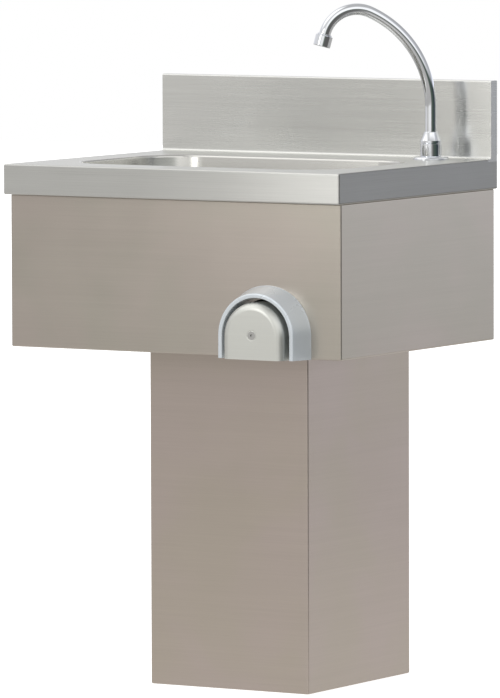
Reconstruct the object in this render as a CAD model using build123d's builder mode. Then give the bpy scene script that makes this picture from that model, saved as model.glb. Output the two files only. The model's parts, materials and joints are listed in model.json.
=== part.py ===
from build123d import *
import os
from math import cos, radians, sin

os.makedirs("parts", exist_ok=True)

# Knee-operated pedestal handwash basin in folded stainless sheet. Millimetres.
# X runs left to right, Y from the user towards the wall, Z up from the floor.
# The origin is on the floor, midway between the knee pad's face and the wall.

# Driving dimensions
WIDTH = 600.0
DEPTH = 488.0
RIM_TOP = 816.0
RIM_HEIGHT = 47.0
SPLASH_HEIGHT = 122.0
SPLASH_DEPTH = 19.0
PAD_REACH = 36.0
APRON_BOTTOM = 533.0
APRON_SIDE_SETBACK = 4.7
APRON_FRONT_SETBACK = 13.5
COLUMN_WIDTH = 285.2
COLUMN_DEPTH = 315.0
BOWL_LENGTH = 480.0
BOWL_WIDTH = 300.0
BOWL_CORNER = 80.0
BOWL_DEPTH = 160.0
BOWL_Y = -10.0
DRAIN_Y = 15.0
SHEET = 1.2
COLUMN_SHEET = 1.5
FOLD = 2.5
FAUCET_X = 220.6
FAUCET_Y = 193.1
SPOUT_HEADING = 39.0
KNEE_X = 167.0
KNEE_CENTRE_Z = 567.0
ROD_Z = 570.0
RUNNING_GAP = 0.05

# Planes of the main sheets
WALL_Y = (DEPTH + PAD_REACH) / 2
FRONT_Y = WALL_Y - DEPTH
PAD_FACE_Y = -WALL_Y
RIM_BOTTOM = RIM_TOP - RIM_HEIGHT
SPLASH_TOP = RIM_TOP + SPLASH_HEIGHT
SPLASH_FACE_Y = WALL_Y - SPLASH_DEPTH
APRON_HALF = WIDTH / 2 - APRON_SIDE_SETBACK
APRON_FRONT_Y = FRONT_Y + APRON_FRONT_SETBACK
COLUMN_HALF = COLUMN_WIDTH / 2
COLUMN_FRONT_Y = WALL_Y - COLUMN_DEPTH
COLUMN_TOP = APRON_BOTTOM + SHEET
PAN_TOP = COLUMN_TOP + SHEET
DECK_UNDERSIDE = RIM_TOP - SHEET
BOWL_FLOOR = RIM_TOP - BOWL_DEPTH


def folded_block(half_width, front_y, rear_y, low_z, high_z, radius):
    """A block with every edge rounded, the outside or the inside of a folded box."""
    with BuildPart() as block:
        with BuildSketch(Plane.XY.offset(low_z)):
            with Locations((0, (front_y + rear_y) / 2)):
                Rectangle(2 * half_width, rear_y - front_y)
        extrude(amount=high_z - low_z)
        fillet(block.edges(), radius)
    return block.part


def window(low, high):
    """A plain block between two corners, used to cut openings."""
    size = [b - a for a, b in zip(low, high)]
    middle = [(a + b) / 2 for a, b in zip(low, high)]
    return Pos(*middle) * Box(*size, mode=Mode.PRIVATE)


def section_plane(x, y, z):
    """Vertical plane facing the user, whose origin is on a vertical axis."""
    return Plane(origin=(x, y, z), x_dir=(1, 0, 0), z_dir=(0, -1, 0))


def turned(profile, plane, axis):
    """A solid of revolution from an outline in the plane's own coordinates."""
    with BuildPart() as form:
        with BuildSketch(plane):
            with BuildLine():
                Polyline(*profile, close=True)
            make_face()
        revolve(axis=axis)
    return form.part


def turned_z(profile, x, y, z):
    """A solid of revolution about the vertical through x, y; heights from z."""
    return turned(profile, section_plane(x, y, z), Axis((x, y, z), (0, 0, 1)))


def turned_y(profile, x, z):
    """A solid of revolution about the line along Y; the profile is (radius, y)."""
    plane = Plane(origin=(x, 0, z), x_dir=(1, 0, 0), z_dir=(0, 0, 1))
    return turned(profile, plane, Axis((x, 0, z), (0, 1, 0)))


def ring(inner, outer, low, high):
    """Outline of a plain ring between two radii and two heights."""
    return [(inner, low), (outer, low), (outer, high), (inner, high)]


def d_outline(half_width, bottom_z):
    """Lines of a D standing on its straight side, round at the top."""
    drop = bottom_z - KNEE_CENTRE_Z
    left_foot = (-half_width, drop)
    right_foot = (half_width, drop)
    Line(left_foot, right_foot)
    Line(right_foot, (half_width, 0))
    ThreePointArc((half_width, 0), (0, half_width), (-half_width, 0))
    Line((-half_width, 0), left_foot)


def knee_plane(y):
    """Plane at depth y facing the user, with its origin on the knee pad's centre."""
    return Plane(origin=(KNEE_X, y, KNEE_CENTRE_Z), x_dir=(1, 0, 0), z_dir=(0, -1, 0))


# ---------------------------------------------------------------- sink top

RETURN_SIDE = 18.0
RETURN_FRONT = 26.0
COVE = 4.0
COVE_Y = SPLASH_FACE_Y - COVE
SEAM_Y = COVE_Y - 5.0
CAP_DROP = 4.0
SHANK_HOLE_R = 11.0
M4_R = 2.0
REACH = 20.0

SIDE_SCREW_X = WIDTH / 2 - 12.0
FRONT_SCREW_Y = APRON_FRONT_Y + 8.0
APRON_SCREW_POINTS = [(x, y) for x in (-SIDE_SCREW_X, SIDE_SCREW_X) for y in (-150, 0, 150)]
APRON_SCREW_POINTS += [(x, FRONT_SCREW_Y) for x in (-180, 0, 180)]

deck_outside = folded_block(WIDTH / 2, FRONT_Y, WALL_Y + REACH, RIM_BOTTOM, RIM_TOP, FOLD)
deck_inside = folded_block(
    WIDTH / 2 - SHEET,
    FRONT_Y + SHEET,
    WALL_Y + REACH + SHEET,
    RIM_BOTTOM + SHEET,
    DECK_UNDERSIDE,
    FOLD - SHEET,
)

# Deck plate with its folded rim, cut for the bowl, the faucet and the splash
with BuildPart() as top_deck:
    add(deck_outside)
    add(deck_inside, mode=Mode.SUBTRACT)
    add(window((-WIDTH, WALL_Y, 0), (WIDTH, WALL_Y + 3 * REACH, SPLASH_TOP)), mode=Mode.SUBTRACT)
    return_slot = window(
        (-WIDTH / 2 + RETURN_SIDE, FRONT_Y + RETURN_FRONT, RIM_BOTTOM - 1),
        (WIDTH / 2 - RETURN_SIDE, WALL_Y + REACH, RIM_BOTTOM + SHEET + 1),
    )
    add(return_slot, mode=Mode.SUBTRACT)
    splash_slot = window((-WIDTH, SEAM_Y, RIM_TOP - CAP_DROP), (WIDTH, WALL_Y + REACH, RIM_TOP + 1))
    add(splash_slot, mode=Mode.SUBTRACT)
    with BuildSketch(Plane.XY.offset(DECK_UNDERSIDE - 1)):
        with Locations((0, BOWL_Y)):
            RectangleRounded(BOWL_LENGTH, BOWL_WIDTH, BOWL_CORNER)
        with Locations((FAUCET_X, FAUCET_Y)):
            Circle(SHANK_HOLE_R)
    extrude(amount=SHEET + 2, mode=Mode.SUBTRACT)
    with BuildSketch(Plane.XY.offset(RIM_BOTTOM - 1)):
        with Locations(*APRON_SCREW_POINTS):
            Circle(M4_R)
    extrude(amount=SHEET + 2, mode=Mode.SUBTRACT)
top_deck.part.label = "top_deck"
export_step(top_deck.part, "parts/top_deck.step")

# Splash sheet: cove, upright, top return and a short lip down the back
SPLASH_HALF = WIDTH / 2 - SHEET
REAR_LIP = 24.0
with BuildPart() as backsplash:
    with BuildSketch(Plane.YZ.offset(-SPLASH_HALF)):
        with BuildLine() as splash_line:
            FilletPolyline(
                (SEAM_Y, RIM_TOP - SHEET / 2),
                (SPLASH_FACE_Y + SHEET / 2, RIM_TOP - SHEET / 2),
                (SPLASH_FACE_Y + SHEET / 2, SPLASH_TOP - SHEET / 2),
                (WALL_Y - SHEET / 2, SPLASH_TOP - SHEET / 2),
                (WALL_Y - SHEET / 2, SPLASH_TOP - REAR_LIP),
                radius=[COVE + SHEET / 2, FOLD - SHEET / 2, FOLD - SHEET / 2],
            )
        trace(line_width=SHEET)
    extrude(amount=2 * SPLASH_HALF)
backsplash.part.label = "backsplash"
export_step(backsplash.part, "parts/backsplash.step")

# Two plates that close the ends of the splash, flush with the rim
with BuildPart() as splash_end_caps:
    with BuildSketch(Plane.YZ.offset(SPLASH_HALF)):
        with BuildLine():
            Line((SEAM_Y, RIM_TOP - CAP_DROP), (WALL_Y, RIM_TOP - CAP_DROP))
            Line((WALL_Y, RIM_TOP - CAP_DROP), (WALL_Y, SPLASH_TOP - FOLD))
            RadiusArc((WALL_Y, SPLASH_TOP - FOLD), (WALL_Y - FOLD, SPLASH_TOP), -FOLD)
            Line((WALL_Y - FOLD, SPLASH_TOP), (SPLASH_FACE_Y + FOLD, SPLASH_TOP))
            RadiusArc((SPLASH_FACE_Y + FOLD, SPLASH_TOP), (SPLASH_FACE_Y, SPLASH_TOP - FOLD), -FOLD)
            Line((SPLASH_FACE_Y, SPLASH_TOP - FOLD), (SPLASH_FACE_Y, RIM_TOP + COVE))
            RadiusArc((SPLASH_FACE_Y, RIM_TOP + COVE), (COVE_Y, RIM_TOP), COVE)
            Line((COVE_Y, RIM_TOP), (SEAM_Y, RIM_TOP))
            Line((SEAM_Y, RIM_TOP), (SEAM_Y, RIM_TOP - CAP_DROP))
        make_face()
    extrude(amount=SHEET)
    mirror(about=Plane.YZ)
splash_end_caps.part.label = "splash_end_caps"
export_step(splash_end_caps.part, "parts/splash_end_caps.step")

# ---------------------------------------------------------------- bowl

SHOULDER = 4.0
BOWL_DRAFT = 5.0
FLOOR_RADIUS = 36.0
WELL_R = 36.0
WELL_DEPTH = 3.0
DRAIN_R = 23.0
EDGE_REST = 0.1


def basin(grow):
    """The bowl's hollow, or with grow the outside of its sheet."""
    with BuildPart() as form:
        with BuildSketch(Plane.XY.offset(RIM_TOP)):
            with Locations((0, BOWL_Y)):
                RectangleRounded(
                    BOWL_LENGTH - 2 * SHOULDER + 2 * grow,
                    BOWL_WIDTH - 2 * SHOULDER + 2 * grow,
                    BOWL_CORNER - SHOULDER + grow,
                )
        extrude(amount=-(BOWL_DEPTH + grow), taper=BOWL_DRAFT)
        fillet(form.faces().sort_by(Axis.Z)[0].edges(), FLOOR_RADIUS + grow)
    return form.part


basin_outside = basin(SHEET)
basin_inside = basin(0)

with BuildPart() as bowl:
    with BuildSketch(Plane.XY.offset(RIM_TOP - SHOULDER)):
        with Locations((0, BOWL_Y)):
            RectangleRounded(BOWL_LENGTH, BOWL_WIDTH, BOWL_CORNER)
    extrude(amount=SHOULDER)
    add(basin_outside)
    with BuildSketch(Plane.XY.offset(BOWL_FLOOR - WELL_DEPTH - SHEET)):
        with Locations((0, DRAIN_Y)):
            Circle(WELL_R + SHEET)
    extrude(amount=WELL_DEPTH + SHEET)
    add(basin_inside, mode=Mode.SUBTRACT)
    with BuildSketch(Plane.XY.offset(BOWL_FLOOR - WELL_DEPTH)):
        with Locations((0, DRAIN_Y)):
            Circle(WELL_R)
    extrude(amount=2 * WELL_DEPTH, mode=Mode.SUBTRACT)
    with BuildSketch(Plane.XY.offset(BOWL_FLOOR - 2 * WELL_DEPTH)):
        with Locations((0, DRAIN_Y)):
            Circle(DRAIN_R)
    extrude(amount=2 * WELL_DEPTH, mode=Mode.SUBTRACT)
    lip = bowl.faces().filter_by(Plane.XY).sort_by(Axis.Z)[-1].inner_wires()[0].edges()
    fillet(lip, SHOULDER - EDGE_REST)
bowl.part.label = "bowl"
export_step(bowl.part, "parts/bowl.step")

# Rubber sheet glued under the bowl's floor, with a hole round the drain
PAD_SHEET = 2.5
with BuildPart() as bowl_sound_pad:
    with BuildSketch(Plane.XY.offset(BOWL_FLOOR - SHEET - PAD_SHEET)):
        with Locations((0, BOWL_Y)):
            RectangleRounded(300, 170, 30)
        with Locations((0, DRAIN_Y)):
            Circle(48, mode=Mode.SUBTRACT)
    extrude(amount=PAD_SHEET)
bowl_sound_pad.part.label = "bowl_sound_pad"
export_step(bowl_sound_pad.part, "parts/bowl_sound_pad.step")

# Two folded channels under the deck, before and behind the bowl
STIFFENER_HEIGHT = 20.0
STIFFENER_WIDTH = 24.0
with BuildPart() as deck_stiffeners:
    with BuildSketch(Plane.XY.offset(DECK_UNDERSIDE - STIFFENER_HEIGHT)):
        with Locations((0, -192)):
            Rectangle(520, STIFFENER_WIDTH)
        with Locations((-45, 214)):
            Rectangle(430, STIFFENER_WIDTH)
    extrude(amount=STIFFENER_HEIGHT)
    with BuildSketch(Plane.XY.offset(DECK_UNDERSIDE - STIFFENER_HEIGHT + SHEET)):
        with Locations((0, -192)):
            Rectangle(530, STIFFENER_WIDTH - 2 * SHEET)
        with Locations((-45, 214)):
            Rectangle(440, STIFFENER_WIDTH - 2 * SHEET)
    extrude(amount=STIFFENER_HEIGHT, mode=Mode.SUBTRACT)
deck_stiffeners.part.label = "deck_stiffeners"
export_step(deck_stiffeners.part, "parts/deck_stiffeners.step")

# ---------------------------------------------------------------- cabinet

APRON_FLANGE = 20.0
APRON_TOP_FLANGE = 14.0
CUT_HALF = 56.0
CUT_REACH = 22.0
BEZEL_BASE_HALF = 76.0
BEZEL_FRONT_HALF = 66.0
BEZEL_INNER_HALF = 59.0
BEZEL_SCREW_R = 1.8
BEZEL_SCREW_RING = (BEZEL_BASE_HALF + BEZEL_INNER_HALF) / 2
BEZEL_SCREW_ANGLES = (0, 45, 90, 135, 180)
BEZEL_SCREWS = [
    (BEZEL_SCREW_RING * cos(radians(a)), BEZEL_SCREW_RING * sin(radians(a)))
    for a in BEZEL_SCREW_ANGLES
]

apron_outside = folded_block(APRON_HALF, APRON_FRONT_Y, WALL_Y, APRON_BOTTOM, RIM_BOTTOM, FOLD)
apron_inside = folded_block(
    APRON_HALF - SHEET,
    APRON_FRONT_Y + SHEET,
    WALL_Y - SHEET,
    APRON_BOTTOM + SHEET,
    RIM_BOTTOM - SHEET,
    FOLD - SHEET,
)

# Skirt round the front and sides, flanged at its edges, with the knee cut-out
with BuildPart() as front_apron:
    add(apron_outside)
    add(apron_inside, mode=Mode.SUBTRACT)
    bottom_slot = window(
        (-APRON_HALF + APRON_FLANGE, APRON_FRONT_Y + APRON_FLANGE, APRON_BOTTOM - 1),
        (APRON_HALF - APRON_FLANGE, WALL_Y + 1, APRON_BOTTOM + SHEET + 1),
    )
    add(bottom_slot, mode=Mode.SUBTRACT)
    top_slot = window(
        (-APRON_HALF + APRON_TOP_FLANGE, APRON_FRONT_Y + APRON_TOP_FLANGE, RIM_BOTTOM - SHEET - 1),
        (APRON_HALF - APRON_TOP_FLANGE, WALL_Y + 1, RIM_BOTTOM + 1),
    )
    add(top_slot, mode=Mode.SUBTRACT)
    rear_slot = window(
        (-APRON_HALF + APRON_FLANGE, WALL_Y - SHEET - 1, APRON_BOTTOM - 1),
        (APRON_HALF - APRON_FLANGE, WALL_Y + 1, RIM_BOTTOM + 1),
    )
    add(rear_slot, mode=Mode.SUBTRACT)
    with BuildSketch(knee_plane(APRON_FRONT_Y + CUT_REACH)):
        with BuildLine():
            d_outline(CUT_HALF, APRON_BOTTOM - 5)
        make_face()
    extrude(amount=CUT_REACH + 5, mode=Mode.SUBTRACT)
    with BuildSketch(knee_plane(APRON_FRONT_Y + SHEET + 1)):
        with Locations(*BEZEL_SCREWS):
            Circle(BEZEL_SCREW_R)
    extrude(amount=SHEET + 2, mode=Mode.SUBTRACT)
    with BuildSketch(Plane.XY.offset(RIM_BOTTOM - SHEET - 1)):
        with Locations(*APRON_SCREW_POINTS):
            Circle(M4_R)
    extrude(amount=SHEET + 2, mode=Mode.SUBTRACT)
front_apron.part.label = "front_apron"
export_step(front_apron.part, "parts/front_apron.step")

# Pan-head screws that hold the skirt up against the rim's return
SCREW_HEAD = 2.6
screw_head = turned_z(
    [(0, 0), (0, -SCREW_HEAD), (2.6, -SCREW_HEAD), (3.8, -SCREW_HEAD + 1.2), (3.8, 0)], 0, 0, 0
)
screw_slot = Pos(0, 0, -SCREW_HEAD) * (Box(5, 0.9, 2.4) + Box(0.9, 5, 2.4))
with BuildPart() as apron_screws:
    for x, y in APRON_SCREW_POINTS:
        with Locations((x, y, RIM_BOTTOM - SHEET)):
            add(screw_head)
            add(screw_slot, mode=Mode.SUBTRACT)
    with BuildSketch(Plane.XY.offset(RIM_BOTTOM - SHEET)):
        with Locations(*APRON_SCREW_POINTS):
            Circle(M4_R)
    extrude(amount=9)
apron_screws.part.label = "apron_screws"
export_step(apron_screws.part, "parts/apron_screws.step")

# Upper rear rail: a channel behind the splash with two wall-fixing holes
RAIL_HALF = 280.0
RAIL_REACH = 20.0
RAIL_FACE_Y = WALL_Y - SHEET
RAIL_LOW, RAIL_HIGH = 700.0, 812.0
WALL_HOLE_X = 230.0
WALL_HOLE_Z = 728.0
WALL_HOLE_R = 4.5
with BuildPart() as rear_rail_upper:
    with BuildSketch(Plane.YZ.offset(-RAIL_HALF)):
        with BuildLine():
            FilletPolyline(
                (RAIL_FACE_Y - RAIL_REACH, RAIL_LOW + SHEET / 2),
                (RAIL_FACE_Y - SHEET / 2, RAIL_LOW + SHEET / 2),
                (RAIL_FACE_Y - SHEET / 2, RAIL_HIGH - SHEET / 2),
                (RAIL_FACE_Y - RAIL_REACH, RAIL_HIGH - SHEET / 2),
                radius=[FOLD - SHEET / 2, FOLD - SHEET / 2],
            )
        trace(line_width=SHEET)
    extrude(amount=2 * RAIL_HALF)
    with BuildSketch(Plane.XZ.offset(-RAIL_FACE_Y - 1)):
        with Locations((-WALL_HOLE_X, WALL_HOLE_Z), (WALL_HOLE_X, WALL_HOLE_Z)):
            Circle(WALL_HOLE_R)
    extrude(amount=5, mode=Mode.SUBTRACT)
rear_rail_upper.part.label = "rear_rail_upper"
export_step(rear_rail_upper.part, "parts/rear_rail_upper.step")

# Lower rear rail: an angle standing on the bottom pan
LOWER_RAIL_HEIGHT = 16.0
with BuildPart() as rear_rail_lower:
    with BuildSketch(Plane.YZ.offset(-RAIL_HALF)):
        with BuildLine():
            FilletPolyline(
                (RAIL_FACE_Y - SHEET / 2, PAN_TOP),
                (RAIL_FACE_Y - SHEET / 2, PAN_TOP + LOWER_RAIL_HEIGHT),
                (RAIL_FACE_Y - RAIL_REACH, PAN_TOP + LOWER_RAIL_HEIGHT),
                radius=[FOLD - SHEET / 2],
            )
        trace(line_width=SHEET)
    extrude(amount=2 * RAIL_HALF)
rear_rail_lower.part.label = "rear_rail_lower"
export_step(rear_rail_lower.part, "parts/rear_rail_lower.step")

# Bottom pan: closes the cabinet below, open over the pedestal's inside
PAN_GAP = 1.4
PAN_HALF = APRON_HALF - SHEET - PAN_GAP
PAN_FRONT_Y = APRON_FRONT_Y + SHEET + PAN_GAP
PAN_REAR_Y = RAIL_FACE_Y - PAN_GAP
M6_R = 3.0
M5_R = 2.5
COLUMN_BOLT_POINTS = [(x, y) for x in (-130, 130) for y in (20, 190)]
COLUMN_BOLT_POINTS += [(x, COLUMN_FRONT_Y + 13) for x in (-70, 70)]
BRACKET_SCREWS = [(KNEE_X + dx, y) for dx in (-36, 36) for y in (-172, -150)]
MIXER_X, MIXER_Y = 75.0, -145.0
MIXER_SCREWS = [(MIXER_X + dx, MIXER_Y) for dx in (-33, 33)]
STUD_POINT = (-200.0, 215.0)
with BuildPart() as bottom_pan:
    with BuildSketch(Plane.XY.offset(COLUMN_TOP)):
        with Locations((0, (PAN_FRONT_Y + PAN_REAR_Y) / 2)):
            Rectangle(2 * PAN_HALF, PAN_REAR_Y - PAN_FRONT_Y)
        with Locations((0, 105)):
            RectangleRounded(230, 260, 12, mode=Mode.SUBTRACT)
        with Locations((KNEE_X, PAN_FRONT_Y)):
            Rectangle(2 * CUT_HALF, 2 * CUT_REACH, mode=Mode.SUBTRACT)
        with Locations(*COLUMN_BOLT_POINTS):
            Circle(M6_R, mode=Mode.SUBTRACT)
        with Locations(*BRACKET_SCREWS, *MIXER_SCREWS):
            Circle(M5_R, mode=Mode.SUBTRACT)
    extrude(amount=SHEET)
bottom_pan.part.label = "bottom_pan"
export_step(bottom_pan.part, "parts/bottom_pan.step")

# Earthing stud welded to the pan, with its nut
with BuildPart() as earth_stud:
    with BuildSketch(Plane.XY.offset(PAN_TOP)):
        with Locations(STUD_POINT):
            Circle(M6_R)
    extrude(amount=16)
    with BuildSketch(Plane.XY.offset(PAN_TOP + 2)):
        with Locations(STUD_POINT):
            RegularPolygon(5, 6, major_radius=False)
    extrude(amount=5)
    with BuildSketch(Plane.XY.offset(PAN_TOP + 1)):
        with Locations(STUD_POINT):
            Circle(6)
    extrude(amount=1)
earth_stud.part.label = "earth_stud"
export_step(earth_stud.part, "parts/earth_stud.step")

# ---------------------------------------------------------------- pedestal

COLUMN_FLANGE = 25.0
COLUMN_RETURN = 20.0
FLOOR_HOLE_X, FLOOR_HOLE_Y, FLOOR_HOLE_SPACING = 128.0, 110.0, 240.0
FLOOR_HOLE_R = 5.5
FLOOR_HOLES = [
    (side * FLOOR_HOLE_X, FLOOR_HOLE_Y + along * FLOOR_HOLE_SPACING / 2)
    for side in (-1, 1)
    for along in (-1, 1)
]

column_outside = folded_block(COLUMN_HALF, COLUMN_FRONT_Y, WALL_Y, 0, COLUMN_TOP, FOLD)
column_inside = folded_block(
    COLUMN_HALF - COLUMN_SHEET,
    COLUMN_FRONT_Y + COLUMN_SHEET,
    WALL_Y - COLUMN_SHEET,
    COLUMN_SHEET,
    COLUMN_TOP - COLUMN_SHEET,
    FOLD - COLUMN_SHEET,
)

# Pedestal: a three-sided folded column, open to the wall, flanged top and bottom
with BuildPart() as pedestal_shell:
    add(column_outside)
    add(column_inside, mode=Mode.SUBTRACT)
    flange_slot = window(
        (-COLUMN_HALF + COLUMN_FLANGE, COLUMN_FRONT_Y + COLUMN_FLANGE, -1),
        (COLUMN_HALF - COLUMN_FLANGE, WALL_Y + 1, COLUMN_TOP + 1),
    )
    add(flange_slot, mode=Mode.SUBTRACT)
    back_slot = window(
        (-COLUMN_HALF + COLUMN_RETURN, WALL_Y - COLUMN_SHEET - 1, -1),
        (COLUMN_HALF - COLUMN_RETURN, WALL_Y + 1, COLUMN_TOP + 1),
    )
    add(back_slot, mode=Mode.SUBTRACT)
    with BuildSketch(Plane.XY.offset(COLUMN_TOP - COLUMN_SHEET - 1)):
        with Locations(*COLUMN_BOLT_POINTS):
            Circle(M6_R)
    extrude(amount=COLUMN_SHEET + 2, mode=Mode.SUBTRACT)
    with BuildSketch(Plane.XY.offset(-1)):
        with Locations(*FLOOR_HOLES):
            Circle(FLOOR_HOLE_R)
    extrude(amount=COLUMN_SHEET + 2, mode=Mode.SUBTRACT)
pedestal_shell.part.label = "pedestal_shell"
export_step(pedestal_shell.part, "parts/pedestal_shell.step")

# Two straps welded across the pedestal's open back
TIE_HEIGHT = 36.0
TIE_LEVELS = (492.0, 60.0)
TIE_LENGTH = 2 * (COLUMN_HALF - COLUMN_SHEET - FOLD / 2)
with BuildPart() as column_ties:
    for level in TIE_LEVELS:
        with BuildSketch(Plane.XY.offset(level)):
            with Locations((0, WALL_Y - 1.5 * COLUMN_SHEET)):
                Rectangle(TIE_LENGTH, COLUMN_SHEET)
            with Locations((0, WALL_Y - 1.5 * COLUMN_SHEET - 5)):
                Rectangle(2 * (COLUMN_HALF - COLUMN_RETURN) - 10, 10)
        extrude(amount=COLUMN_SHEET)
        with BuildSketch(Plane.XY.offset(level)):
            with Locations((0, WALL_Y - 1.5 * COLUMN_SHEET)):
                Rectangle(TIE_LENGTH, COLUMN_SHEET)
        extrude(amount=TIE_HEIGHT)
column_ties.part.label = "column_ties"
export_step(column_ties.part, "parts/column_ties.step")

# Flanged hexagon bolts up through the pedestal's top flange, and their nuts
bolt_form = turned_z(ring(0, 6.5, -1.5, 0), 0, 0, 0)
with BuildPart() as column_bolts:
    for x, y in COLUMN_BOLT_POINTS:
        with Locations((x, y, COLUMN_TOP - COLUMN_SHEET)):
            add(bolt_form)
    with BuildSketch(Plane.XY.offset(COLUMN_TOP - COLUMN_SHEET - 1.5)):
        with Locations(*COLUMN_BOLT_POINTS):
            RegularPolygon(5, 6, major_radius=False)
    extrude(amount=-4)
    with BuildSketch(Plane.XY.offset(COLUMN_TOP - COLUMN_SHEET)):
        with Locations(*COLUMN_BOLT_POINTS):
            Circle(M6_R)
    extrude(amount=12)
column_bolts.part.label = "column_bolts"
export_step(column_bolts.part, "parts/column_bolts.step")

with BuildPart() as column_nuts:
    with BuildSketch(Plane.XY.offset(PAN_TOP)):
        with Locations(*COLUMN_BOLT_POINTS):
            RegularPolygon(5, 6, major_radius=False)
        with Locations(*COLUMN_BOLT_POINTS):
            Circle(M6_R, mode=Mode.SUBTRACT)
    extrude(amount=5)
column_nuts.part.label = "column_nuts"
export_step(column_nuts.part, "parts/column_nuts.step")

# ---------------------------------------------------------------- swivel spout

FLANGE_R = 28.0
FLANGE_HEIGHT = 5.6
BODY_R = 16.8
BODY_TOP = 25.6
NUT_TOP = 43.5
TUBE_R = 9.0
TUBE_BORE_R = 7.5
SHANK_R = 10.45
SHANK_DROP = 52.0
SOCKET_R = TUBE_R + RUNNING_GAP
STEM_LOW = 11.0
STEM_TOP = 31.0
NECK_TOP = 33.0
RISER_TOP = 81.2
LARGE_BEND_R, LARGE_BEND_TURN = 163.6, 65.3
SMALL_BEND_R, SMALL_BEND_TURN = 51.4, 99.7
O_RING_LEVELS = (16.0, 25.0)
O_RING_R = 0.75

with BuildPart() as spout_flange:
    with BuildSketch(section_plane(FAUCET_X, FAUCET_Y, RIM_TOP)):
        with BuildLine():
            Polyline((SHANK_HOLE_R, 1.5), (25, 1.5), (25, 0), (FLANGE_R, 0), (FLANGE_R, 1.4))
            ThreePointArc((FLANGE_R, 1.4), (26.4, 3.6), (22, 5.0))
            Polyline((22, 5.0), (18.5, FLANGE_HEIGHT), (SHANK_HOLE_R, FLANGE_HEIGHT))
            Line((SHANK_HOLE_R, FLANGE_HEIGHT), (SHANK_HOLE_R, 1.5))
        make_face()
    revolve(axis=Axis((FAUCET_X, FAUCET_Y, RIM_TOP), (0, 0, 1)))
spout_flange.part.label = "spout_flange"
export_step(spout_flange.part, "parts/spout_flange.step")

with BuildPart() as deck_gasket:
    add(turned_z(ring(SHANK_HOLE_R, 24.8, 0, 1.5), FAUCET_X, FAUCET_Y, RIM_TOP))
deck_gasket.part.label = "deck_gasket"
export_step(deck_gasket.part, "parts/deck_gasket.step")

# Faucet body above the deck and its threaded shank below
with BuildPart() as spout_body:
    body_profile = [
        (6.5, -SHANK_DROP),
        (SHANK_R - 1, -SHANK_DROP),
        (SHANK_R, -SHANK_DROP + 1),
        (SHANK_R, FLANGE_HEIGHT),
        (BODY_R - 0.8, FLANGE_HEIGHT),
        (BODY_R, FLANGE_HEIGHT + 0.8),
        (BODY_R, BODY_TOP - 1),
        (BODY_R - 1, BODY_TOP),
        (12.2, BODY_TOP),
        (12.2, NECK_TOP),
        (SOCKET_R, NECK_TOP),
        (SOCKET_R, STEM_LOW - 0.5),
        (6.5, STEM_LOW - 0.5),
    ]
    add(turned_z(body_profile, FAUCET_X, FAUCET_Y, RIM_TOP))
spout_body.part.label = "spout_body"
export_step(spout_body.part, "parts/spout_body.step")

with BuildPart() as shank_washer:
    add(turned_z(ring(SHANK_R, 18, -SHEET - 3, -SHEET), FAUCET_X, FAUCET_Y, RIM_TOP))
shank_washer.part.label = "shank_washer"
export_step(shank_washer.part, "parts/shank_washer.step")

with BuildPart() as shank_lock_nut:
    with BuildSketch(Plane.XY.offset(DECK_UNDERSIDE - 11)):
        with Locations((FAUCET_X, FAUCET_Y)):
            RegularPolygon(14, 6, major_radius=False)
            Circle(SHANK_R, mode=Mode.SUBTRACT)
    extrude(amount=8)
shank_lock_nut.part.label = "shank_lock_nut"
export_step(shank_lock_nut.part, "parts/shank_lock_nut.step")

# Conical cap nut that keeps the spout in its body
NUT_LOW = BODY_TOP + 0.6
with BuildPart() as spout_nut:
    with BuildSketch(section_plane(FAUCET_X, FAUCET_Y, RIM_TOP)):
        with BuildLine():
            Polyline((12.2, NUT_LOW), (BODY_R - 0.6, NUT_LOW), (BODY_R, NUT_LOW + 0.6))
            Line((BODY_R, NUT_LOW + 0.6), (BODY_R, NUT_LOW + 3.4))
            ThreePointArc((BODY_R, NUT_LOW + 3.4), (14.2, 34.6), (11.0, NUT_TOP - 0.8))
            Polyline((11.0, NUT_TOP - 0.8), (10.4, NUT_TOP), (9.3, NUT_TOP), (9.3, 35.6))
            Polyline((9.3, 35.6), (11.6, 35.6), (11.6, NECK_TOP), (12.2, NECK_TOP))
            Line((12.2, NECK_TOP), (12.2, NUT_LOW))
        make_face()
    revolve(axis=Axis((FAUCET_X, FAUCET_Y, RIM_TOP), (0, 0, 1)))
spout_nut.part.label = "spout_nut"
export_step(spout_nut.part, "parts/spout_nut.step")

with BuildPart() as spout_retaining_ring:
    add(turned_z(ring(TUBE_R, 11.2, 33.4, 35.2), FAUCET_X, FAUCET_Y, RIM_TOP))
spout_retaining_ring.part.label = "spout_retaining_ring"
export_step(spout_retaining_ring.part, "parts/spout_retaining_ring.step")

# Gooseneck: a riser, a wide bend and a tight bend, in one upright plane
heading = radians(SPOUT_HEADING)
along_spout = Vector(-cos(heading), -sin(heading), 0)
across_spout = along_spout.cross(Vector(0, 0, 1))
spout_plane = Plane(origin=(FAUCET_X, FAUCET_Y, RIM_TOP), x_dir=along_spout, z_dir=across_spout)
TUBE_END = 6.0

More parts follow.
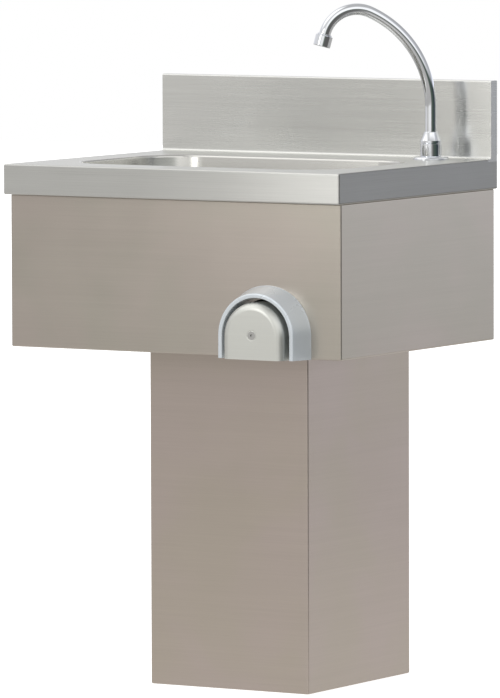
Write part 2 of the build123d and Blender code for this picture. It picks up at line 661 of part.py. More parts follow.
with BuildPart() as spout_tube:
    with BuildLine(spout_plane) as gooseneck:
        riser = Line((0, STEM_LOW), (0, RISER_TOP))
        large_bend = JernArc(riser @ 1, riser % 1, LARGE_BEND_R, -LARGE_BEND_TURN)
        small_bend = JernArc(large_bend @ 1, large_bend % 1, SMALL_BEND_R, -SMALL_BEND_TURN)
        Line(small_bend @ 1, small_bend @ 1 + (small_bend % 1) * TUBE_END)
    with BuildSketch(Plane(origin=gooseneck.line @ 0, z_dir=gooseneck.line % 0)):
        Circle(TUBE_R)
        Circle(TUBE_BORE_R, mode=Mode.SUBTRACT)
    sweep(path=gooseneck.line)
    stem = ring(6.0, TUBE_BORE_R, STEM_LOW, STEM_TOP)
    add(turned_z(stem, FAUCET_X, FAUCET_Y, RIM_TOP))
    for level in O_RING_LEVELS:
        groove = ring(TUBE_R - 2 * O_RING_R, TUBE_R + 1, level - 0.9, level + 0.9)
        add(turned_z(groove, FAUCET_X, FAUCET_Y, RIM_TOP), mode=Mode.SUBTRACT)
spout_tube.part.label = "spout_tube"
export_step(spout_tube.part, "parts/spout_tube.step")

with BuildPart() as spout_o_rings:
    with BuildSketch(section_plane(FAUCET_X, FAUCET_Y, RIM_TOP)):
        with Locations(*[(TUBE_R - O_RING_R, level) for level in O_RING_LEVELS]):
            Circle(O_RING_R)
    revolve(axis=Axis((FAUCET_X, FAUCET_Y, RIM_TOP), (0, 0, 1)))
spout_o_rings.part.label = "spout_o_rings"
export_step(spout_o_rings.part, "parts/spout_o_rings.step")

# Aerator on the spout's end: a collar with spanner flats, a mesh insert and a seal
AERATOR_R = 13.4
AERATOR_LENGTH = 20.0
INSERT_R = 10.3
outlet = small_bend @ 1
flow = small_bend % 1
outlet_plane = Plane(origin=outlet, x_dir=across_spout.cross(flow), z_dir=across_spout)
outlet_axis = Axis(outlet, flow)


def turned_outlet(profile):
    """A solid of revolution about the outlet; the profile is (radius, distance along it)."""
    return turned([(r, -s) for r, s in profile], outlet_plane, outlet_axis)


with BuildPart() as aerator_housing:
    housing_profile = [
        (TUBE_R, 0),
        (10.6, 0),
        (11.2, 0.7),
        (11.2, 1.6),
        (10.8, 2.0),
        (AERATOR_R - 0.6, 2.5),
        (AERATOR_R, 3.1),
        (AERATOR_R, AERATOR_LENGTH - 1.0),
        (AERATOR_R - 0.8, AERATOR_LENGTH),
        (INSERT_R, AERATOR_LENGTH),
        (INSERT_R, TUBE_END),
        (TUBE_R, TUBE_END),
    ]
    add(turned_outlet(housing_profile))
aerator_housing.part.label = "aerator_housing"
export_step(aerator_housing.part, "parts/aerator_housing.step")

INSERT_START = TUBE_END + 1.6
INSERT_END = AERATOR_LENGTH - 1.2
with BuildPart() as aerator_insert:
    add(turned_outlet(ring(0, INSERT_R, INSERT_START, INSERT_END)))
    with BuildSketch(Plane(origin=outlet + flow * INSERT_START, x_dir=across_spout, z_dir=flow)):
        with GridLocations(3.2, 3.2, 5, 5):
            Rectangle(2.3, 2.3)
    extrude(amount=AERATOR_LENGTH, mode=Mode.SUBTRACT)
aerator_insert.part.label = "aerator_insert"
export_step(aerator_insert.part, "parts/aerator_insert.step")

with BuildPart() as aerator_seal:
    add(turned_outlet(ring(TUBE_BORE_R, INSERT_R, TUBE_END, INSERT_START)))
aerator_seal.part.label = "aerator_seal"
export_step(aerator_seal.part, "parts/aerator_seal.step")

# ---------------------------------------------------------------- knee push pad

BEZEL_REACH = 38.0
PAD_HALF = 52.5
PAD_EDGE = 7.0
PAD_WALL = 1.5
PAD_REAR_Y = APRON_FRONT_Y - 12.0
BEZEL_FRONT_Y = APRON_FRONT_Y - BEZEL_REACH

# Horseshoe bezel round the pad, tapering from the skirt to a narrow front ring
with BuildPart() as knee_bezel:
    with BuildSketch(knee_plane(APRON_FRONT_Y)):
        with BuildLine():
            d_outline(BEZEL_BASE_HALF, APRON_BOTTOM)
        make_face()
    with BuildSketch(knee_plane(BEZEL_FRONT_Y)):
        with BuildLine():
            d_outline(BEZEL_FRONT_HALF, APRON_BOTTOM)
        make_face()
    loft()
    with BuildSketch(knee_plane(APRON_FRONT_Y + 1)):
        with BuildLine():
            d_outline(BEZEL_INNER_HALF, APRON_BOTTOM - 5)
        make_face()
    extrude(amount=BEZEL_REACH + 5, mode=Mode.SUBTRACT)
    front_arcs = knee_bezel.faces().sort_by(Axis.Y)[0].edges().filter_by(GeomType.CIRCLE)
    front_legs = knee_bezel.faces().sort_by(Axis.Y)[0].edges().filter_by(Axis.Z)
    fillet(front_arcs + front_legs, 2.0)
    with BuildSketch(knee_plane(APRON_FRONT_Y)):
        with Locations(*BEZEL_SCREWS):
            Circle(BEZEL_SCREW_R)
    extrude(amount=14, mode=Mode.SUBTRACT)
knee_bezel.part.label = "knee_bezel"
export_step(knee_bezel.part, "parts/knee_bezel.step")

# Self-tapping screws from inside the skirt into the bezel's back
with BuildPart() as bezel_screws:
    with BuildSketch(knee_plane(APRON_FRONT_Y + SHEET)):
        with Locations(*BEZEL_SCREWS):
            Circle(BEZEL_SCREW_R)
    extrude(amount=SHEET + 10)
    with BuildSketch(knee_plane(APRON_FRONT_Y + SHEET + 2.2)):
        with Locations(*BEZEL_SCREWS):
            Circle(3.6)
    extrude(amount=2.2)
    with BuildSketch(knee_plane(APRON_FRONT_Y + SHEET + 2.2)):
        with Locations(*BEZEL_SCREWS):
            Rectangle(4, 0.8)
            Rectangle(0.8, 4)
    extrude(amount=1.2, mode=Mode.SUBTRACT)
bezel_screws.part.label = "bezel_screws"
export_step(bezel_screws.part, "parts/bezel_screws.step")

SCREW_HEAD_R = 6.25
SCREW_SINK = SCREW_HEAD_R - M6_R
countersink = turned_y(
    [(0, PAD_FACE_Y), (SCREW_HEAD_R, PAD_FACE_Y), (M6_R, PAD_FACE_Y + SCREW_SINK),
     (M6_R, PAD_FACE_Y + 40), (0, PAD_FACE_Y + 40)],
    KNEE_X,
    ROD_Z,
)

# Push pad: a pressed cap, round on top and flat below, open behind
with BuildPart() as knee_pad:
    with BuildSketch(knee_plane(PAD_REAR_Y)):
        with BuildLine():
            d_outline(PAD_HALF, APRON_BOTTOM)
        make_face()
    extrude(amount=PAD_REAR_Y - PAD_FACE_Y)
    pad_front = knee_pad.faces().sort_by(Axis.Y)[0]
    pad_rim = pad_front.edges().filter_by(lambda edge: edge.center().Z > APRON_BOTTOM + 1)
    fillet(pad_rim, PAD_EDGE)
    with BuildSketch(knee_plane(PAD_REAR_Y + 1)):
        with BuildLine():
            d_outline(PAD_HALF - PAD_WALL, APRON_BOTTOM + PAD_WALL)
        make_face()
    extrude(amount=PAD_REAR_Y + 1 - PAD_FACE_Y - PAD_EDGE, mode=Mode.SUBTRACT)
    with BuildSketch(knee_plane(PAD_FACE_Y + PAD_EDGE)):
        with BuildLine():
            d_outline(PAD_HALF - PAD_EDGE, APRON_BOTTOM + PAD_WALL)
        make_face()
    extrude(amount=PAD_EDGE - PAD_WALL, mode=Mode.SUBTRACT)
    add(countersink, mode=Mode.SUBTRACT)
knee_pad.part.label = "knee_pad"
export_step(knee_pad.part, "parts/knee_pad.step")

# Carrier plate behind the pad's face, with the boss that the rod butts on
CARRIER_Y = PAD_FACE_Y + PAD_WALL
CARRIER_THICK = 4.0
CARRIER_BACK_Y = CARRIER_Y + CARRIER_THICK
BOSS_END_Y = CARRIER_BACK_Y + 12.5
ROD_R = 6.0
GUIDE_X = 28.0
GUIDE_Z = 558.0
GUIDE_R = 2.5
guide_points = [(side * GUIDE_X, GUIDE_Z - KNEE_CENTRE_Z) for side in (-1, 1)]
with BuildPart() as pad_carrier:
    with BuildSketch(knee_plane(CARRIER_BACK_Y)):
        with BuildLine():
            d_outline(PAD_HALF - PAD_EDGE - 1, APRON_BOTTOM + PAD_WALL + 2)
        make_face()
        with Locations(*guide_points):
            Circle(GUIDE_R, mode=Mode.SUBTRACT)
    extrude(amount=CARRIER_THICK)
    with BuildSketch(knee_plane(BOSS_END_Y)):
        with Locations((0, ROD_Z - KNEE_CENTRE_Z)):
            Circle(8)
    extrude(amount=BOSS_END_Y - CARRIER_BACK_Y)
    add(countersink, mode=Mode.SUBTRACT)
pad_carrier.part.label = "pad_carrier"
export_step(pad_carrier.part, "parts/pad_carrier.step")

SCREW_END_Y = BOSS_END_Y + 12.0
with BuildPart() as knee_pad_screw:
    screw_profile = [
        (0, PAD_FACE_Y),
        (SCREW_HEAD_R, PAD_FACE_Y),
        (M6_R, PAD_FACE_Y + SCREW_SINK),
        (M6_R, SCREW_END_Y),
        (0, SCREW_END_Y),
    ]
    add(turned_y(screw_profile, KNEE_X, ROD_Z))
    with BuildSketch(knee_plane(PAD_FACE_Y + 2.4)):
        with Locations((0, ROD_Z - KNEE_CENTRE_Z)):
            RegularPolygon(2, 6, major_radius=False)
    extrude(amount=5, mode=Mode.SUBTRACT)
knee_pad_screw.part.label = "knee_pad_screw"
export_step(knee_pad_screw.part, "parts/knee_pad_screw.step")

# Push rod, drilled at its front end for the pad's screw
BRACKET_Y = -189.0
BRACKET_THICK = 3.0
BONNET_FRONT_Y = BRACKET_Y - 10.0
PISTON_FRONT_Y = -175.7
PISTON_END_Y = -148.0
ROD_END_Y = -152.0
with BuildPart() as push_rod:
    add(turned_y(
        [(M6_R, BOSS_END_Y), (ROD_R, BOSS_END_Y), (ROD_R, ROD_END_Y), (0, ROD_END_Y),
         (0, SCREW_END_Y), (M6_R, SCREW_END_Y)],
        KNEE_X,
        ROD_Z,
    ))
push_rod.part.label = "push_rod"
export_step(push_rod.part, "parts/push_rod.step")

with BuildPart() as guide_pins:
    with BuildSketch(knee_plane(CARRIER_Y)):
        with Locations(*guide_points):
            Circle(GUIDE_R)
    extrude(amount=CARRIER_Y + 178)
guide_pins.part.label = "guide_pins"
export_step(guide_pins.part, "parts/guide_pins.step")

# Return spring between the carrier and the bonnet
SPRING_R = 10.4
WIRE_R = 0.9
SPRING_TURNS = 7
SPRING_START_Y = CARRIER_BACK_Y + WIRE_R + 0.4
SPRING_LENGTH = BONNET_FRONT_Y - WIRE_R - 0.4 - SPRING_START_Y
with BuildPart() as return_spring:
    with BuildLine() as coil:
        Helix(
            pitch=SPRING_LENGTH / SPRING_TURNS,
            height=SPRING_LENGTH,
            radius=SPRING_R,
            center=(KNEE_X, SPRING_START_Y, ROD_Z),
            direction=(0, 1, 0),
        )
    with BuildSketch(Plane(origin=coil.line @ 0, z_dir=coil.line % 0)):
        Circle(WIRE_R)
    sweep(path=coil.line, is_frenet=True)
return_spring.part.label = "return_spring"
export_step(return_spring.part, "parts/return_spring.step")

# ---------------------------------------------------------------- valve and mixer

VALVE_REAR_Y = -110.0
VALVE_HALF = 22.0
VALVE_DROP = 20.0
BONNET_R = 12.0
PISTON_R = 10.0
BORE_END_Y = VALVE_REAR_Y - 8.0
INLET_Y = -150.0
OUTLET_Y = -130.0
OUTLET_END_X = 205.0
PORT_R = 5.0
NIPPLE_R = 8.0
NIPPLE_INSET = 7.0


def cylinder_x(radius, low_x, high_x, y, z):
    """A rod along X between two ends, for ports and drillings."""
    rod = Cylinder(radius, high_x - low_x, rotation=(0, 90, 0), mode=Mode.PRIVATE)
    return Pos((low_x + high_x) / 2, y, z) * rod


with BuildPart() as valve_bonnet:
    with BuildSketch(knee_plane(BRACKET_Y)):
        with Locations((0, ROD_Z - KNEE_CENTRE_Z)):
            RegularPolygon(13.5, 6, major_radius=False)
    extrude(amount=BRACKET_Y - BONNET_FRONT_Y)
    add(turned_y(ring(0, BONNET_R, BRACKET_Y, -176.0), KNEE_X, ROD_Z))
    add(turned_y(ring(0, ROD_R + RUNNING_GAP, -220, -170), KNEE_X, ROD_Z), mode=Mode.SUBTRACT)
valve_bonnet.part.label = "valve_bonnet"
export_step(valve_bonnet.part, "parts/valve_bonnet.step")

VALVE_FRONT_Y = BRACKET_Y + BRACKET_THICK
with BuildPart() as valve_body:
    with BuildSketch(knee_plane(VALVE_REAR_Y)):
        with Locations((0, ROD_Z - KNEE_CENTRE_Z)):
            RectangleRounded(2 * VALVE_HALF, 2 * VALVE_DROP, 8)
    extrude(amount=VALVE_REAR_Y - VALVE_FRONT_Y)
    add(cylinder_x(SHANK_R, KNEE_X, OUTLET_END_X, OUTLET_Y, ROD_Z))
    add(cylinder_x(13, KNEE_X - VALVE_HALF - 6, KNEE_X, INLET_Y, ROD_Z))
    add(turned_y(ring(0, BONNET_R, -190, -176.0), KNEE_X, ROD_Z), mode=Mode.SUBTRACT)
    valve_bore = ring(0, PISTON_R + RUNNING_GAP, -180, BORE_END_Y)
    add(turned_y(valve_bore, KNEE_X, ROD_Z), mode=Mode.SUBTRACT)
    add(cylinder_x(PORT_R, KNEE_X, OUTLET_END_X + 1, OUTLET_Y, ROD_Z), mode=Mode.SUBTRACT)
    add(cylinder_x(PORT_R, KNEE_X - 40, KNEE_X, INLET_Y, ROD_Z), mode=Mode.SUBTRACT)
    nipple_seat = cylinder_x(
        NIPPLE_R, KNEE_X - 40, KNEE_X - VALVE_HALF - 6 + NIPPLE_INSET, INLET_Y, ROD_Z
    )
    add(nipple_seat, mode=Mode.SUBTRACT)
valve_body.part.label = "valve_body"
export_step(valve_body.part, "parts/valve_body.step")

SEAL_LEVELS = (-171.0, -153.0)
SEAL_R = 1.2
with BuildPart() as piston:
    add(turned_y(ring(0, PISTON_R, PISTON_FRONT_Y, PISTON_END_Y), KNEE_X, ROD_Z))
    add(turned_y(ring(0, ROD_R, -200, ROD_END_Y), KNEE_X, ROD_Z), mode=Mode.SUBTRACT)
    for level in SEAL_LEVELS:
        groove = ring(PISTON_R - 2 * SEAL_R, PISTON_R + 1, level - 1.3, level + 1.3)
        add(turned_y(groove, KNEE_X, ROD_Z), mode=Mode.SUBTRACT)
    waist = ring(8.0, PISTON_R + 1, -167.0, -157.0)
    add(turned_y(waist, KNEE_X, ROD_Z), mode=Mode.SUBTRACT)
piston.part.label = "piston"
export_step(piston.part, "parts/piston.step")

with BuildPart() as piston_seals:
    with BuildSketch(Plane(origin=(KNEE_X, 0, ROD_Z), x_dir=(1, 0, 0), z_dir=(0, 0, 1))):
        with Locations(*[(PISTON_R - SEAL_R, level) for level in SEAL_LEVELS]):
            Circle(SEAL_R)
    revolve(axis=Axis((KNEE_X, 0, ROD_Z), (0, 1, 0)))
piston_seals.part.label = "piston_seals"
export_step(piston_seals.part, "parts/piston_seals.step")

# Angle bracket that carries the valve on the bottom pan
BRACKET_HALF = 46.0
BRACKET_TOP = 604.0
BRACKET_FOOT_END = -138.0
with BuildPart() as valve_bracket:
    with BuildSketch(Plane.YZ.offset(KNEE_X - BRACKET_HALF)):
        with BuildLine():
            FilletPolyline(
                (BRACKET_FOOT_END, PAN_TOP + BRACKET_THICK / 2),
                (BRACKET_Y + BRACKET_THICK / 2, PAN_TOP + BRACKET_THICK / 2),
                (BRACKET_Y + BRACKET_THICK / 2, BRACKET_TOP),
                radius=[BRACKET_THICK],
            )
        trace(line_width=BRACKET_THICK)
    extrude(amount=2 * BRACKET_HALF)
    add(turned_y(ring(0, BONNET_R, -200, -180), KNEE_X, ROD_Z), mode=Mode.SUBTRACT)
    with BuildSketch(knee_plane(-180)):
        with Locations(*guide_points):
            Circle(GUIDE_R + RUNNING_GAP)
    extrude(amount=20, mode=Mode.SUBTRACT)
    with BuildSketch(Plane.XY.offset(PAN_TOP - 1)):
        with Locations(*BRACKET_SCREWS):
            Circle(M5_R)
    extrude(amount=6, mode=Mode.SUBTRACT)
valve_bracket.part.label = "valve_bracket"
export_step(valve_bracket.part, "parts/valve_bracket.step")

# Mixer: one block that joins the hot and cold inlets ahead of the valve
MIXER_HALF = 35.0
MIXER_LOW, MIXER_HIGH = 549.0, 592.0
MIXER_FRONT_Y, MIXER_REAR_Y = -165.0, -125.0
FOOT_HEIGHT = 5.0
COLLAR_END_Y = MIXER_REAR_Y + 3.0
STUB_COLLAR_R = 12.5
STUB_END_Y = -105.0
STUB_X = (MIXER_X - 20, MIXER_X + 20)
STUB_BORE_R = 6.5
SPINDLE_R = 4.0
DRILLING_R = 4.0


def cylinder_y(radius, low_y, high_y, x, z):
    """A rod along Y between two ends, for ports and drillings."""
    rod = Cylinder(radius, high_y - low_y, rotation=(90, 0, 0), mode=Mode.PRIVATE)
    return Pos(x, (low_y + high_y) / 2, z) * rod


with BuildPart() as mixer_body:
    with BuildSketch(Plane.XY.offset(MIXER_LOW)):
        with Locations((MIXER_X, MIXER_Y)):
            RectangleRounded(2 * MIXER_HALF, MIXER_REAR_Y - MIXER_FRONT_Y, 9)
    extrude(amount=MIXER_HIGH - MIXER_LOW)
    with BuildSketch(Plane.XY.offset(PAN_TOP)):
        with Locations((MIXER_X, MIXER_Y)):
            RectangleRounded(86, 30, 6)
    extrude(amount=FOOT_HEIGHT)
    with BuildSketch(Plane.XY.offset(PAN_TOP + FOOT_HEIGHT)):
        with Locations((MIXER_X, MIXER_Y)):
            Circle(14)
    extrude(amount=MIXER_LOW - PAN_TOP - FOOT_HEIGHT)
    for x in STUB_X:
        add(cylinder_y(STUB_COLLAR_R, MIXER_Y, COLLAR_END_Y, x, ROD_Z))
        add(cylinder_y(SHANK_R, MIXER_Y, STUB_END_Y, x, ROD_Z))
    for x in STUB_X:
        add(cylinder_y(STUB_BORE_R, MIXER_REAR_Y, STUB_END_Y + 1, x, ROD_Z), mode=Mode.SUBTRACT)
        add(cylinder_y(DRILLING_R, INLET_Y, MIXER_REAR_Y, x, ROD_Z), mode=Mode.SUBTRACT)
    channel = cylinder_x(PORT_R, STUB_X[0] - 6, MIXER_X + 40, INLET_Y, ROD_Z)
    add(channel, mode=Mode.SUBTRACT)
    nipple_socket = cylinder_x(
        NIPPLE_R, MIXER_X + MIXER_HALF - NIPPLE_INSET, MIXER_X + 40, INLET_Y, ROD_Z
    )
    add(nipple_socket, mode=Mode.SUBTRACT)
    with BuildSketch(Plane.XY.offset(MIXER_HIGH - 14)):
        with Locations((MIXER_X, MIXER_Y)):
            Circle(SPINDLE_R + RUNNING_GAP)
    extrude(amount=20, mode=Mode.SUBTRACT)
    with BuildSketch(Plane.XY.offset(PAN_TOP - 1)):
        with Locations(*MIXER_SCREWS):
            Circle(M5_R)
    extrude(amount=FOOT_HEIGHT + 2, mode=Mode.SUBTRACT)
mixer_body.part.label = "mixer_body"
export_step(mixer_body.part, "parts/mixer_body.step")

# Nipple with a hexagon in the middle, from the mixer to the valve
NIPPLE_LOW_X = MIXER_X + MIXER_HALF - NIPPLE_INSET
NIPPLE_HIGH_X = KNEE_X - VALVE_HALF - 6 + NIPPLE_INSET
with BuildPart() as mixer_nipple:
    add(cylinder_x(NIPPLE_R, NIPPLE_LOW_X, NIPPLE_HIGH_X, INLET_Y, ROD_Z))
    with BuildSketch(Plane.YZ.offset(118)):
        with Locations((INLET_Y, ROD_Z)):
            RegularPolygon(11, 6, major_radius=False)
    extrude(amount=10)
    add(cylinder_x(PORT_R, NIPPLE_LOW_X - 1, NIPPLE_HIGH_X + 1, INLET_Y, ROD_Z), mode=Mode.SUBTRACT)
mixer_nipple.part.label = "mixer_nipple"
export_step(mixer_nipple.part, "parts/mixer_nipple.step")

# Cup-shaped mesh strainers in the two inlets
with BuildPart() as inlet_strainers:
    for x in STUB_X:
        add(cylinder_y(STUB_BORE_R, MIXER_REAR_Y, STUB_END_Y - 2, x, ROD_Z))
    for x in STUB_X:
        add(cylinder_y(STUB_BORE_R - 1, MIXER_REAR_Y + 1, STUB_END_Y, x, ROD_Z), mode=Mode.SUBTRACT)
inlet_strainers.part.label = "inlet_strainers"
export_step(inlet_strainers.part, "parts/inlet_strainers.step")

KNOB_LOW = MIXER_HIGH + 1.5
KNOB_HEIGHT = 22.0
KNOB_R = 17.0
with BuildPart() as mixer_spindle:
    with BuildSketch(Plane.XY.offset(MIXER_HIGH - 13.5)):
        with Locations((MIXER_X, MIXER_Y)):
            Circle(SPINDLE_R)
    extrude(amount=13.5 + 1.5 + 14)
mixer_spindle.part.label = "mixer_spindle"
export_step(mixer_spindle.part, "parts/mixer_spindle.step")

with BuildPart() as mixer_knob:
    with BuildSketch(Plane.XY.offset(KNOB_LOW)):
        with Locations((MIXER_X, MIXER_Y)):
            Circle(KNOB_R)
    extrude(amount=KNOB_HEIGHT)
    fillet(mixer_knob.edges().group_by(Axis.Z)[-1], 2.5)
    with BuildSketch(Plane.XY.offset(KNOB_LOW + 4)):
        with Locations((MIXER_X, MIXER_Y)):
            with PolarLocations(KNOB_R + 1.6, 10):
                Circle(3.4)
    extrude(amount=KNOB_HEIGHT, mode=Mode.SUBTRACT)
    with BuildSketch(Plane.XY.offset(KNOB_LOW)):
        with Locations((MIXER_X, MIXER_Y)):
            Circle(SPINDLE_R)
    extrude(amount=14, mode=Mode.SUBTRACT)
mixer_knob.part.label = "mixer_knob"
export_step(mixer_knob.part, "parts/mixer_knob.step")

# Socket-head screws that fix the bracket and the mixer's foot to the pan
with BuildPart() as valve_screws:
    for points, seat in ((BRACKET_SCREWS, BRACKET_THICK), (MIXER_SCREWS, FOOT_HEIGHT)):
        with BuildSketch(Plane.XY.offset(COLUMN_TOP - 3)):
            with Locations(*points):
                Circle(M5_R)
        extrude(amount=3 + SHEET + seat)
        with BuildSketch(Plane.XY.offset(PAN_TOP + seat)):
            with Locations(*points):
                Circle(4.25)
        extrude(amount=5)
        with BuildSketch(Plane.XY.offset(PAN_TOP + seat + 2)):
            with Locations(*points):
                RegularPolygon(2, 6, major_radius=False)
        extrude(amount=4, mode=Mode.SUBTRACT)
valve_screws.part.label = "valve_screws"
export_step(valve_screws.part, "parts/valve_screws.step")

# ---------------------------------------------------------------- hose to the spout

HOSE_R = 6.0
HOSE_NUT = 18.0
FERRULE_R = 8.0
FERRULE_LENGTH = 14.0
SHANK_END_Z = RIM_TOP - SHANK_DROP
HOSE_START = (OUTLET_END_X + 2, OUTLET_Y, ROD_Z)
HOSE_END = (FAUCET_X, FAUCET_Y, SHANK_END_Z - 2)
hose_points = [
    HOSE_START,
    (262, OUTLET_Y, ROD_Z),
    (268, -30, 612),
    (262, 90, 636),
    (FAUCET_X, FAUCET_Y, 652),
    HOSE_END,
]
hose_radii = [32, 95, 150, 40]
with BuildPart() as spout_hose:
    with BuildLine() as hose_route:
        FilletPolyline(*hose_points, radius=hose_radii)
    with BuildSketch(Plane(origin=hose_route.line @ 0, z_dir=hose_route.line % 0)):
        Circle(HOSE_R)
        Circle(HOSE_R - 2, mode=Mode.SUBTRACT)
    sweep(path=hose_route.line)
spout_hose.part.label = "spout_hose"
export_step(spout_hose.part, "parts/spout_hose.step")

nut_form_low = Plane(origin=(OUTLET_END_X - 14, OUTLET_Y, ROD_Z), x_dir=(0, 1, 0), z_dir=(1, 0, 0))
nut_form_high = Plane(origin=(FAUCET_X, FAUCET_Y, SHANK_END_Z + 14), x_dir=(1, 0, 0), z_dir=(0, 0, -1))
with BuildPart() as hose_nuts:
    for end_plane in (nut_form_low, nut_form_high):
        with BuildSketch(end_plane):
            RegularPolygon(13, 6, major_radius=False)
        extrude(amount=HOSE_NUT)
    for end_plane in (nut_form_low, nut_form_high):
        with BuildSketch(end_plane):
            Circle(SHANK_R)
        extrude(amount=14, mode=Mode.SUBTRACT)
        with BuildSketch(end_plane):
            Circle(FERRULE_R)
        extrude(amount=HOSE_NUT, mode=Mode.SUBTRACT)
hose_nuts.part.label = "hose_nuts"
export_step(hose_nuts.part, "parts/hose_nuts.step")

with BuildPart() as hose_ferrules:
    with BuildSketch(Plane(origin=hose_route.line @ 0, z_dir=hose_route.line % 0)):
        Circle(FERRULE_R)
        Circle(HOSE_R, mode=Mode.SUBTRACT)
    extrude(amount=FERRULE_LENGTH)
    with BuildSketch(Plane(origin=hose_route.line @ 1, z_dir=-(hose_route.line % 1))):
        Circle(FERRULE_R)
        Circle(HOSE_R, mode=Mode.SUBTRACT)
    extrude(amount=FERRULE_LENGTH)
hose_ferrules.part.label = "hose_ferrules"
export_step(hose_ferrules.part, "parts/hose_ferrules.step")

# ---------------------------------------------------------------- waste

STRAINER_R = 31.5
GRATE_LOW = BOWL_FLOOR - WELL_DEPTH + 1.0
WASTE_TOP = BOWL_FLOOR - WELL_DEPTH - SHEET - 3.0
WASTE_LOW = WASTE_TOP - 46.0
WASTE_THREAD_R = 20.9
PIPE_R = 16.0
PIPE_BORE_R = 14.2
TAIL_R = 15.0
TAIL_BORE_R = 13.6

with BuildPart() as waste_strainer:
    add(turned_z(
        [(0, GRATE_LOW), (STRAINER_R, GRATE_LOW), (STRAINER_R, GRATE_LOW + 1.2),
         (STRAINER_R - 1.2, GRATE_LOW + 2), (25, GRATE_LOW + 2), (23, GRATE_LOW + 1.4),
         (0, GRATE_LOW + 1.4)],
        0, DRAIN_Y, 0,
    ))
    add(turned_z(ring(20.5, 22, GRATE_LOW - 9, GRATE_LOW), 0, DRAIN_Y, 0))
    with BuildSketch(Plane.XY.offset(GRATE_LOW - 1)):
        with Locations((0, DRAIN_Y)):
            with PolarLocations(10.5, 6):
                Circle(2.6)
            with PolarLocations(17, 12):
                Circle(2.6)
    extrude(amount=4, mode=Mode.SUBTRACT)
    sink_profile = [(0, GRATE_LOW - 1), (M6_R, GRATE_LOW - 1), (M6_R, GRATE_LOW),
                    (4.4, GRATE_LOW + 1.4), (0, GRATE_LOW + 1.4)]
    add(turned_z(sink_profile, 0, DRAIN_Y, 0), mode=Mode.SUBTRACT)
waste_strainer.part.label = "waste_strainer"
export_step(waste_strainer.part, "parts/waste_strainer.step")

BOSS_TOP = WASTE_TOP - 8.0
with BuildPart() as waste_screw:
    add(turned_z(
        [(0, BOSS_TOP - 12), (M6_R, BOSS_TOP - 12), (M6_R, GRATE_LOW), (4.4, GRATE_LOW + 1.4),
         (0, GRATE_LOW + 1.4)],
        0, DRAIN_Y, 0,
    ))
    driver_slot = window((-5, DRAIN_Y - 0.6, GRATE_LOW + 0.6), (5, DRAIN_Y + 0.6, GRATE_LOW + 2))
    add(driver_slot, mode=Mode.SUBTRACT)
waste_screw.part.label = "waste_screw"
export_step(waste_screw.part, "parts/waste_screw.step")

with BuildPart() as waste_gaskets:
    add(turned_z(ring(DRAIN_R, 31, GRATE_LOW - 1, GRATE_LOW), 0, DRAIN_Y, 0))
    add(turned_z(ring(DRAIN_R, 31, WASTE_TOP, WASTE_TOP + 3), 0, DRAIN_Y, 0))
waste_gaskets.part.label = "waste_gaskets"
export_step(waste_gaskets.part, "parts/waste_gaskets.step")

# Waste body: a funnel under the bowl with a bridge for the strainer's screw
with BuildPart() as waste_body:
    funnel = [
        (27, WASTE_TOP),
        (32, WASTE_TOP),
        (32, WASTE_TOP - 10),
        (WASTE_THREAD_R, WASTE_TOP - 18),
        (WASTE_THREAD_R, WASTE_LOW),
        (17, WASTE_LOW),
        (17, WASTE_TOP - 20),
        (27, WASTE_TOP - 12),
    ]
    add(turned_z(funnel, 0, DRAIN_Y, 0))
    add(window((-28, DRAIN_Y - 2.5, BOSS_TOP - 8), (28, DRAIN_Y + 2.5, BOSS_TOP)))
    with BuildSketch(Plane.XY.offset(BOSS_TOP - 8)):
        with Locations((0, DRAIN_Y)):
            Circle(6)
    extrude(amount=8)
    with BuildSketch(Plane.XY.offset(BOSS_TOP - 12)):
        with Locations((0, DRAIN_Y)):
            Circle(M6_R)
    extrude(amount=16, mode=Mode.SUBTRACT)
waste_body.part.label = "waste_body"
export_step(waste_body.part, "parts/waste_body.step")

# Bottle trap under the waste, standing inside the pedestal
OUTLET_Z = 465.0
TRAP_R = 33.0
TRAP_WALL = 2.5
TRAP_TOP = 530.0
TRAP_SHOULDER = 498.0
TRAP_LOW = 425.0
CUP_LOW = 352.0
CUP_LAP = 8.0
COLLAR_R = 22.0
DIP_LOW = 385.0
ELBOW_Y = DRAIN_Y + 60.0
LIP = 4.0
WASHER = 2.0

with BuildPart() as dip_tube:
    add(turned_z(ring(PIPE_BORE_R, PIPE_R, DIP_LOW, WASTE_LOW + 8), 0, DRAIN_Y, 0))
dip_tube.part.label = "dip_tube"
export_step(dip_tube.part, "parts/dip_tube.step")

with BuildPart() as trap_body:
    bottle = [
        (TRAP_R - TRAP_WALL, TRAP_LOW),
        (TRAP_R, TRAP_LOW),
        (TRAP_R, TRAP_SHOULDER),
        (COLLAR_R, TRAP_SHOULDER + 8),
        (COLLAR_R, TRAP_TOP),
        (PIPE_R + 0.5, TRAP_TOP),
        (PIPE_R + 0.5, TRAP_SHOULDER + 6),
        (TRAP_R - TRAP_WALL, TRAP_SHOULDER - 3),
    ]
    add(cylinder_y(COLLAR_R, DRAIN_Y, ELBOW_Y, 0, OUTLET_Z))
    add(turned_z(bottle, 0, DRAIN_Y, 0))
    inside = ring(0, TRAP_R - TRAP_WALL, TRAP_LOW - 1, TRAP_SHOULDER - 3)
    add(turned_z(inside, 0, DRAIN_Y, 0), mode=Mode.SUBTRACT)
    add(cylinder_y(PIPE_R + 0.5, DRAIN_Y, ELBOW_Y + 1, 0, OUTLET_Z), mode=Mode.SUBTRACT)
trap_body.part.label = "trap_body"
export_step(trap_body.part, "parts/trap_body.step")

